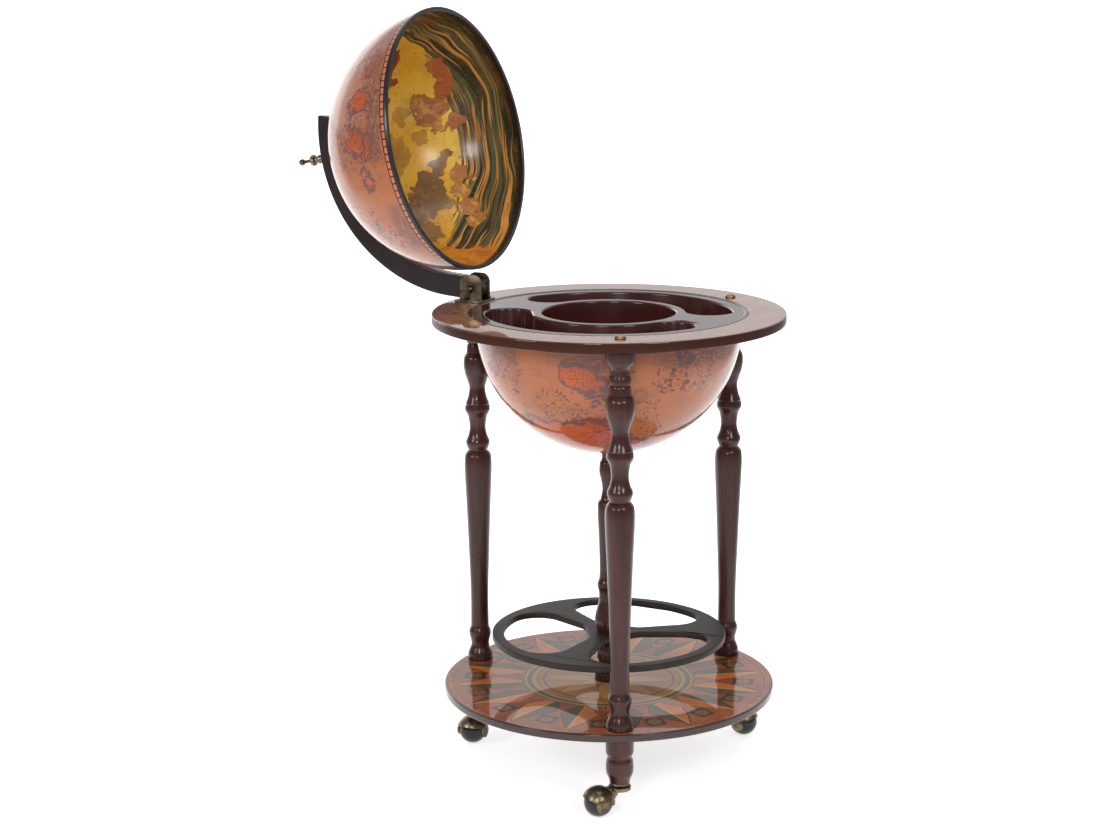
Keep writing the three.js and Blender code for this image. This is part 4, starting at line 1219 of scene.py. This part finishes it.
class GLOBEBAR_OT_tray(bpy.types.Operator):
    """Form the insert: plate, bottle well and two curved glass wells"""

    bl_idname = "globebar.tray"
    bl_label = "Wells"

    plate_radius = 177 * MM
    bead_width = 5.4 * MM
    well_radius = 85 * MM
    glass_inner = 98 * MM
    glass_outer = 157 * MM
    glass_reach = 76
    lip_steps, floor_steps = 5, 6
    # Depth, draft and floor round of the wells
    glass_form = (59.3 * MM, 6 * MM, 9 * MM)
    bottle_form = (137.5 * MM, 4 * MM, 7 * MM)
    # The raised bead and the skirt round the plate, in mm from the bead's foot
    bead = ((0.4, 0.25), (1.0, 0.62), (1.9, 0.85), (2.9, 0.9), (3.9, 0.8), (4.7, 0.5),
            (5.2, 0.05), (5.4, -0.4), (5.4, -2.2))
    wall = 1.8 * MM

    def kidney(self, grow, side):
        """Outline of a curved glass well on one side of the bottle well."""
        middle = (self.glass_inner + self.glass_outer) / 2
        end_round = (self.glass_outer - self.glass_inner) / 2
        lobe = math.degrees(end_round / middle)
        reach = self.glass_reach - lobe
        low, high = 90 - reach, 90 + reach
        size = end_round + grow
        low_end, high_end = (arc((0, 0), middle, angle, angle, 1)[0] for angle in (low, high))
        outline = (arc((0, 0), middle + size, low, high, 44)
                   + arc(high_end, size, high, high + 180, 20)[1:-1]
                   + arc((0, 0), middle - size, high, low, 36)
                   + arc(low_end, size, low + 180, low + 360, 20)[1:-1])
        return [(AXIS.x + side * x, side * y) for x, y in outline]

    def sink(self, piece, test, lip, depth, draft, floor_round):
        """Fill the opening and push it down: lip, drafted wall, floor round and floor."""
        select_edges(piece, test)
        bpy.ops.mesh.edge_face_add()
        wall = math.atan2(draft, depth)
        full = math.pi / 2 - wall
        profile = []
        for step in range(1, self.lip_steps + 1):
            angle = full * step / self.lip_steps
            profile.append((lip * math.sin(angle), lip * (1 - math.cos(angle))))
        reach, fall = profile[-1]
        straight = depth - fall - floor_round * (1 - math.sin(wall))
        profile.append((reach + straight * math.tan(wall), fall + straight))
        reach, fall = profile[-1]
        for step in range(1, self.floor_steps + 1):
            angle = full * (1 - step / self.floor_steps)
            profile.append((reach + floor_round * (math.cos(wall) - math.sin(angle)),
                            fall + floor_round * (math.cos(angle) - math.sin(wall))))
        before = (0.0, 0.0)
        for point in profile:
            bpy.ops.mesh.inset(thickness=point[0] - before[0], depth=before[1] - point[1])
            before = point

    def execute(self, context):
        lip = context.scene.globe_bar.well_lip
        bead_foot = self.plate_radius - self.bead_width
        middle = (AXIS.x, 0)
        circle = arc(middle, bead_foot, 0, 360, GLOBE_STEPS)[:-1]
        mouth = arc(middle, self.well_radius + lip, 0, 360, 96)[:-1]
        kidneys = [self.kidney(lip, 1), self.kidney(lip, -1)]
        piece = flat_sheet("moulded_wells", [circle, mouth, *kidneys], TRAY_TOP)
        bpy.ops.mesh.normals_make_consistent(inside=False)
        mesh = bmesh.from_edit_mesh(piece.data)
        mesh.faces.ensure_lookup_table()
        if mesh.faces[0].normal.z < 0:
            bpy.ops.mesh.flip_normals()
        bpy.ops.mesh.inset(thickness=lip / 2, use_boundary=True)

        def near(outline, tolerance=0.05 * MM):
            """A test for the points of the plate that are on an outline."""
            keys = {(round(x / tolerance), round(y / tolerance)) for x, y in outline}

            def test(point):
                column, row = math.floor(point.x / tolerance), math.floor(point.y / tolerance)
                return abs(point.z - TRAY_TOP) < tolerance and any(
                    (column + i, row + j) in keys for i in (0, 1) for j in (0, 1))
            return test

        for outline in kidneys:
            self.sink(piece, near(outline), lip, *self.glass_form)
        self.sink(piece, near(mouth), lip, *self.bottle_form)

        select_edges(piece, near(circle))
        radius, height = bead_foot, 0.0
        for out, up in in_mm(self.bead):
            grow = (bead_foot + out) / radius
            bpy.ops.mesh.extrude_edges_move(
                TRANSFORM_OT_translate={"value": (0, 0, up - height)})
            bpy.ops.transform.resize(value=(grow, grow, 1), center_override=(AXIS.x, 0, 0))
            radius, height = bead_foot + out, up
        bpy.ops.object.mode_set(mode="OBJECT")
        apply_modifier(piece, "SOLIDIFY", thickness=self.wall, offset=-1)
        end_piece(piece)
        dress(piece, "tray", "insert_plastic", "frame", "tray_plate", "bottle_well",
              "glass_well_front", "glass_well_back")
        return {"FINISHED"}


class GLOBEBAR_OT_lid(bpy.types.Operator):
    """Make the hinged upper half of the globe and its edge strip"""

    bl_idname = "globebar.lid"
    bl_label = "Lid"

    edge_rise = 2.5 * MM
    strip_height = 3.8 * MM
    strip_gap = 0.1 * MM
    strip_round = 0.5 * MM
    # The strip's inner flange: its gap to the dome, its wall and its rise above the strip
    flange_gap, flange_wall, flange_rise = 0.9 * MM, 1.4 * MM, 2.4 * MM

    def execute(self, context):
        start = self.edge_rise + self.strip_height + self.strip_gap
        inside = LID_RADIUS - SHELL_WALL
        outer = arc((0, 0), LID_RADIUS, math.degrees(math.asin(start / LID_RADIUS)), 90, 48)
        inner = arc((0, 0), inside, 90, math.degrees(math.asin(start / inside)), 48)
        outer[-1], inner[0] = (0, LID_RADIUS), (0, inside)
        dome = lathe("globe_lid", [*outer, *inner, outer[0]], GLOBE_STEPS)
        dome.data.materials.append(FINISHES["lid"])
        dome.data.materials.append(FINISHES["sky"])
        middle = LID_RADIUS - SHELL_WALL / 2
        for face in dome.data.polygons:
            within = face.center.length < middle or face.center.z < start + self.strip_gap
            face.material_index = 1 if within else 0
        move_mesh(dome, OPEN_LID @ Matrix.Translation(LID_CENTRE))
        dress(dome, None, "globe_print", "lid", "dome")

        low, high = self.edge_rise, self.edge_rise + self.strip_height
        round_, wall = self.strip_round, self.flange_wall
        lip = inside - self.flange_gap
        rise = high + self.flange_rise
        outline = [(lip - wall + round_, low),
                   *arc((LID_RADIUS - round_, low + round_), round_, -90, 0, 4),
                   (LID_RADIUS, high), (lip, high), (lip, rise - round_ / 2),
                   (lip - round_ / 2, rise), (lip - wall + round_ / 2, rise),
                   (lip - wall, rise - round_ / 2), (lip - wall, low + round_),
                   (lip - wall + round_, low)]
        strip = lathe("lid_edge_strip", outline, GLOBE_STEPS)
        move_mesh(strip, OPEN_LID @ Matrix.Translation(LID_CENTRE))
        dress(strip, "rim", "rim_black", "lid", "dome_rim")
        return {"FINISHED"}


class GLOBEBAR_OT_arm(bpy.types.Operator):
    """Saw the meridian arm and fit its spacer, bolt and finial"""

    bl_idname = "globebar.arm"
    bl_label = "Arm and finial"

    inner_radius = 183.2 * MM
    outer_radius = 212.2 * MM
    centre_drop = 1.1 * MM
    past_pole = 15.7
    end_radius = 14 * MM
    flare = 8
    thickness = 20 * MM
    edge_round, edge_support = 1.2 * MM, 3 * MM
    spacer_radius = 8 * MM
    spacer_sections = (((0, 0.9), (0.06, 1), (0.4, 0.86), (0.6, 0.86), (0.94, 1), (1, 0.9)),)
    finial_length = 41 * MM
    finial_radius = 7.8 * MM
    # Gaps under and over the spacer, under the finial and under the screw's head
    spacer_gaps = (0.3 * MM, 0.6 * MM)
    finial_gap = 0.3 * MM
    screw_gap = 1.5 * MM
    screw_side = ((0, -2.5), (2.6, -2.45), (4.6, -2.0), (5.7, -1.1), (6, -0.4), (6, 0), (2.5, 0),
                  (2.5, 42), (0, 42))

    def execute(self, context):
        centre = (AXIS.x + POLE_OFFSET, LID_CENTRE.z - self.centre_drop)
        pivot = (PIVOT.x, PIVOT.z)
        to_pivot = math.degrees(math.atan2(pivot[1] - centre[1], pivot[0] - centre[0]))
        end = 90 - self.past_pole
        outline = (arc(centre, self.outer_radius, end, to_pivot - self.flare, 80)
                   + arc(pivot, self.end_radius, to_pivot, to_pivot + 180, 24)
                   + arc(centre, self.inner_radius, to_pivot - self.flare, end, 72))
        piece = upright_plate("meridian_bow", outline, -self.thickness / 2, self.thickness,
                              self.edge_round, support=self.edge_support)
        move_mesh(piece, OPEN_LID)
        dress(piece, "arm", "turned_wood", "lid", "meridian_arm")

        pole = OPEN_LID @ Matrix.Translation((centre[0], 0, LID_CENTRE.z))
        spacer_low = LID_RADIUS + self.spacer_gaps[0]
        spacer_high = self.inner_radius - self.centre_drop - self.spacer_gaps[1]
        side = turned_side(self.spacer_sections, spacer_high - spacer_low, self.spacer_radius)
        spacer = lathe("turned_spacer", solid_outline(side), 40)
        move_mesh(spacer, pole @ Matrix.Translation((0, 0, spacer_low)))
        dress(spacer, "arm", "turned_wood", "lid", "pole_spacer")

        finial_low = self.outer_radius - self.centre_drop + self.finial_gap
        side = turned_side(FINIAL_SECTIONS, self.finial_length, self.finial_radius, 5)
        finial = lathe("brass_finial", [(0, 0), *side], 48)
        move_mesh(finial, pole @ Matrix.Translation((0, 0, finial_low)))
        dress(finial, "bronze", "aged_brass", "lid", "finial")

        head_top = LID_RADIUS - SHELL_WALL - self.screw_gap
        bolt = lathe("pole_screw", in_mm(self.screw_side), 40)
        move_mesh(bolt, pole @ Matrix.Translation((0, 0, head_top)))
        dress(bolt, "bronze", "aged_brass", "lid", "pole_bolt")
        return {"FINISHED"}


class GLOBEBAR_OT_hinge(bpy.types.Operator):
    """Bend the hinge bracket and fit its bolt, nut and screws"""

    bl_idname = "globebar.hinge"
    bl_label = "Hinge"

    plate = 1.6 * MM
    width = 32 * MM
    height = 35 * MM
    corner = 11 * MM
    base_size = (38 * MM, 45 * MM)
    base_corner = 3 * MM
    base_round, cheek_round = 0.3 * MM, 0.35 * MM
    cheek_inner = 10.5 * MM
    bolt_gap = 0.3 * MM
    bolt_radius = 3 * MM
    # Where the bolt's end starts to narrow and where it ends, beyond the cheek
    bolt_end = (4 * MM, 4.6 * MM)
    bolt_head = ((0, -3.0), (1.6, -2.9), (3.2, -2.3), (4.2, -1.2), (4.6, -0.2), (4.6, 0), (3, 0))
    nut_side = ((3.1, 0), (5.2, 0), (6, 0.5), (6, 3.5), (5.2, 4), (3.1, 4), (3.1, 0))
    screw_side = ((0, 0), (1.8, 0), (1.8, 10.4), (3.6, 10.9), (3.3, 11.7), (2.2, 12.4),
                  (0, 12.7))

    def cheek(self, name, side, low):
        """One upright ear of the bracket, rounded at the top."""
        half = self.width / 2
        top = low + self.height - self.corner
        outline = [(PIVOT.x - half, low), (PIVOT.x + half, low),
                   *arc((PIVOT.x + half - self.corner, top), self.corner, 0, 90, 12),
                   *arc((PIVOT.x - half + self.corner, top), self.corner, 90, 180, 12)]
        return upright_plate(name, outline, side, self.plate, self.cheek_round, 2)

    def execute(self, context):
        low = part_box("hinge_bracket")[0].z
        reach_x, reach_y = (size / 2 - self.base_corner for size in self.base_size)
        outline = []
        for sx, sy, start in ((1, 1, 0), (-1, 1, 90), (-1, -1, 180), (1, -1, 270)):
            spot = (PIVOT.x + sx * reach_x, sy * reach_y)
            outline += arc(spot, self.base_corner, start, start + 90, 6)
        base = plate_from("hinge_plate", [outline], low, low + self.plate, self.base_round, 0)
        cheeks = [self.cheek("cheek_a", self.cheek_inner, low),
                  self.cheek("cheek_b", -self.cheek_inner - self.plate, low)]
        unite(base, *cheeks)
        base.name = base.data.name = "bent_hinge_bracket"
        shade_cut(base, 30)
        dress(base, "bronze", "aged_brass", "frame", "hinge_bracket")

        outer = self.cheek_inner + self.plate + self.bolt_gap
        turn = Matrix.Rotation(math.radians(-90), 4, "X")
        shank = [(radius, height - outer) for radius, height in in_mm(self.bolt_head)]
        shank += [(self.bolt_radius, outer + self.bolt_end[0]), (0, outer + self.bolt_end[1])]
        bolt = lathe("hinge_pin", shank, 40)
        move_mesh(bolt, Matrix.Translation((PIVOT.x, 0, PIVOT.z)) @ turn)
        dress(bolt, "bronze", "aged_brass", "frame", "hinge_bolt")
        nut = lathe("hex_nut", in_mm(self.nut_side), 6, 20)
        move_mesh(nut, Matrix.Translation((PIVOT.x, outer, PIVOT.z)) @ turn)
        dress(nut, "bronze", "aged_brass", "frame", "hinge_nut")

        pattern = lathe("screw", in_mm(self.screw_side), 28)
        for index in (1, 2, 3, 4):
            node = f"bracket_screw_{index}"
            place = Matrix.Translation(over(node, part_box(node)[0].z))
            piece = copy_piece(pattern, f"plate_screw_{index}", place)
            dress(piece, "bronze", "aged_brass", "frame", node)
        bpy.data.objects.remove(pattern)
        return {"FINISHED"}


class GLOBEBAR_OT_casters(bpy.types.Operator):
    """Make the ball casters: stem, hood, ball and axle"""

    bl_idname = "globebar.casters"
    bl_label = "Casters"

    ball_gap = 0.8 * MM
    hood_wall = 1.8 * MM
    # The hood's lower edge: its height over the ball's middle and its fall towards the stem
    edge_height, edge_fall = 2.75 * MM, 11.5 * MM
    hub_radius = 9 * MM
    hub_rise = 0.35 * MM
    axle_radius, axle_play, axle_recess = 3 * MM, 0.1 * MM, 0.3 * MM
    boss_radius = 14 * MM
    boss_low, boss_high = 31.5 * MM, 36.5 * MM
    neck_width, neck_round = 11 * MM, 1.2 * MM
    neck_back = 9.5 * MM
    neck_low, neck_front = 13 * MM, SWIVEL_OFFSET - 4 * MM
    # How far the hollow curve under the neck runs up into the boss
    neck_entry = 0.4 * MM
    # Bore round the stem and room for its head: radius, half height and middle height
    stem_bore = (4.3 * MM, 30 * MM, 26 * MM)
    head_room = (6.8 * MM, 16 * MM, boss_low - 15.7 * MM)
    rod_round = 0.6 * MM
    bore_play, bore_round = 0.2 * MM, 0.4 * MM
    # Radius and height of the stem, drawn in mm from its foot
    stem_side = ((0, 0), (5.4, 0), (6.2, 0.7), (6.2, 2.2), (4, 2.2), (4, 10.1), (11.9, 10.1),
                 (12.6, 10.8), (12.6, 12.3), (12.2, 13.2), (11.2, 13.9), (4.5, 14.1),
                 (4.5, 35.4), (3.7, 36.2), (0, 36.2))
    fewest_faces = 1000
    tries = 4

    def sphere(self, name, radius, sides=64):
        """A ball at the caster's place."""
        outline = arc((0, 0), radius, -90, 90, sides // 2)
        outline[0], outline[-1] = (0, -radius), (0, radius)
        piece = lathe(name, outline, sides)
        return move_mesh(piece, Matrix.Translation((SWIVEL_OFFSET, 0, BALL_RADIUS)))

    def rod(self, name, radius, half, centre, turn=None, sides=40):
        """A rod with rounded ends, upright unless it is turned."""
        round_ = min(self.rod_round, radius / 4)
        outline = [(0, -half), (radius - round_, -half), (radius, -half + round_),
                   (radius, half - round_), (radius - round_, half), (0, half)]
        piece = lathe(name, outline, sides)
        return move_mesh(piece, Matrix.Translation(centre) @ (turn or Matrix.Identity(4)))

    def hood(self, centre, across):
        """The cast hood: a bowl-shaped shell with hubs, a boss for the stem and a neck."""
        inner = BALL_RADIUS + self.ball_gap
        outer = inner + self.hood_wall
        hood = self.sphere("hood_shell", outer)
        only(hood)
        bpy.ops.object.mode_set(mode="EDIT")
        select_all()
        tilt = math.atan2(self.edge_fall, 2 * outer)
        bpy.ops.mesh.bisect(plane_co=centre + Vector((0, 0, self.edge_height)),
                            plane_no=(-math.sin(tilt), 0, math.cos(tilt)),
                            use_fill=True, clear_inner=True)
        bpy.ops.object.mode_set(mode="OBJECT")
        hubs = unite(self.rod("hubs", self.hub_radius, 2 * outer, centre, across),
                     self.sphere("hub_limit", outer + self.hub_rise), operation="INTERSECT")
        boss = self.rod("boss", self.boss_radius, (self.boss_high - self.boss_low) / 2,
                        (0, 0, (self.boss_high + self.boss_low) / 2))
        unite(hood, hubs, boss, self.neck())
        # The cutters have other numbers of sides, so that no edge lies on another
        cutters = [self.sphere("ball_room", inner, 54),
                   self.rod("axle_bore", self.axle_radius + self.axle_play, 2 * outer, centre,
                            across, 34)]
        for name, (radius, half, height), sides in (("stem_bore", self.stem_bore, 38),
                                                    ("head_room", self.head_room, 46)):
            cutters.append(self.rod(name, radius, half, (0, 0, height), sides=sides))
        unite(hood, *cutters, operation="DIFFERENCE")
        return shade_cut(hood, 32)

    def neck(self):
        """Web from the boss to the shell, with a hollow curve underneath that enters the boss."""
        sweep = self.boss_low - self.neck_low + self.neck_entry
        top = self.boss_high - MM
        outline = [*arc((-self.neck_back, self.neck_low), sweep, 90, 0, 14),
                   (self.neck_front, self.neck_low), (self.neck_front, top),
                   (-self.neck_back, top)]
        return upright_plate("neck", outline, -self.neck_width / 2, self.neck_width,
                             self.neck_round, angle=60)

    def execute(self, context):
        centre = Vector((SWIVEL_OFFSET, 0, BALL_RADIUS))
        across = Matrix.Rotation(math.radians(90), 4, "X")
        hood = self.hood(centre, across)
        for _ in range(1, self.tries):
            # An exact boolean can drop a whole shell: such a hood is made once more
            if len(hood.data.polygons) > self.fewest_faces:
                break
            bpy.data.objects.remove(hood)
            hood = self.hood(centre, across)
        bore = self.axle_radius + self.bore_play
        angle = math.degrees(math.acos(bore / BALL_RADIUS))
        outline = arc((0, 0), BALL_RADIUS, -angle, angle, 40)
        ball = lathe("ball", [*outline, (bore, outline[-1][1] - self.bore_round),
                              (bore, outline[0][1] + self.bore_round), outline[0]], 64)
        move_mesh(ball, Matrix.Translation(centre) @ across)
        axle = self.rod("axle", self.axle_radius, BALL_RADIUS + self.ball_gap + self.hood_wall
                        - self.axle_recess, centre, across)
        low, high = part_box("caster_stem_hinge")
        rise = (high.z - low.z) / self.stem_side[-1][1]
        stem = lathe("stem", [(radius * MM, height * rise) for radius, height in self.stem_side],
                     48)
        for leg in LEGS:
            at = Matrix.Translation(over(f"caster_stem_{leg}"))
            turned = at @ Matrix.Rotation(math.radians(SWIVELS[leg]), 4, "Z")
            piece = copy_piece(stem, f"plated_stem_{leg}", at @ Matrix.Translation((0, 0, low.z)))
            dress(piece, "bronze", "aged_brass", "frame", f"caster_stem_{leg}")
            piece = copy_piece(hood, f"cast_hood_{leg}", turned)
            dress(piece, "bronze", "aged_brass", f"caster_swivel_{leg}", f"caster_hood_{leg}")
            piece = copy_piece(axle, f"pressed_axle_{leg}", turned)
            dress(piece, "bronze", "dark_steel", f"caster_swivel_{leg}", f"caster_axle_{leg}")
            piece = copy_piece(ball, f"rolling_ball_{leg}", turned)
            dress(piece, "ball", "caster_ball", f"caster_ball_body_{leg}", f"caster_ball_{leg}")
        for pattern in (hood, ball, axle, stem):
            bpy.data.objects.remove(pattern)
        return {"FINISHED"}


class GLOBEBAR_OT_fixings(bpy.types.Operator):
    """Finish the rods, studs, bolts and nuts that stay as they are"""

    bl_idname = "globebar.fixings"
    bl_label = "Rods, bolts and nuts"

    def execute(self, context):
        for solid in frame["nodes"].values():
            if not solid.hide_render:
                solid.data.materials.clear()
                solid.data.materials.append(FINISHES["steel"])
        return {"FINISHED"}


class GLOBEBAR_PT_panel(bpy.types.Panel):
    """Lists the globe bar's sizes, colours and pieces"""

    bl_label = "Globe Bar"
    bl_idname = "GLOBEBAR_PT_panel"
    bl_space_type = "VIEW_3D"
    bl_region_type = "UI"
    bl_category = "Globe Bar"

    def draw(self, context):
        settings = context.scene.globe_bar
        for name in settings.bl_rna.properties.keys():
            if name not in ("rna_type", "name"):
                self.layout.prop(settings, name)
        for operator in OPERATORS:
            self.layout.operator(operator.bl_idname)


OPERATORS = (
    GLOBEBAR_OT_stage,
    GLOBEBAR_OT_legs,
    GLOBEBAR_OT_column,
    GLOBEBAR_OT_boards,
    GLOBEBAR_OT_holder,
    GLOBEBAR_OT_bowl,
    GLOBEBAR_OT_tray,
    GLOBEBAR_OT_lid,
    GLOBEBAR_OT_arm,
    GLOBEBAR_OT_hinge,
    GLOBEBAR_OT_casters,
    GLOBEBAR_OT_fixings,
)
CLASSES = (GlobeBarSettings, *OPERATORS, GLOBEBAR_PT_panel)


def register():
    for entry in CLASSES:
        bpy.utils.register_class(entry)
    bpy.types.Scene.globe_bar = PointerProperty(type=GlobeBarSettings)


def unregister():
    del bpy.types.Scene.globe_bar
    for entry in reversed(CLASSES):
        bpy.utils.unregister_class(entry)


def main():
    register()
    FINISHES.update(make_finishes(bpy.context.scene.globe_bar))
    for operator in OPERATORS:
        group, name = operator.bl_idname.split(".")
        getattr(getattr(bpy.ops, group), name)()


if __name__ == "__main__":
    main()
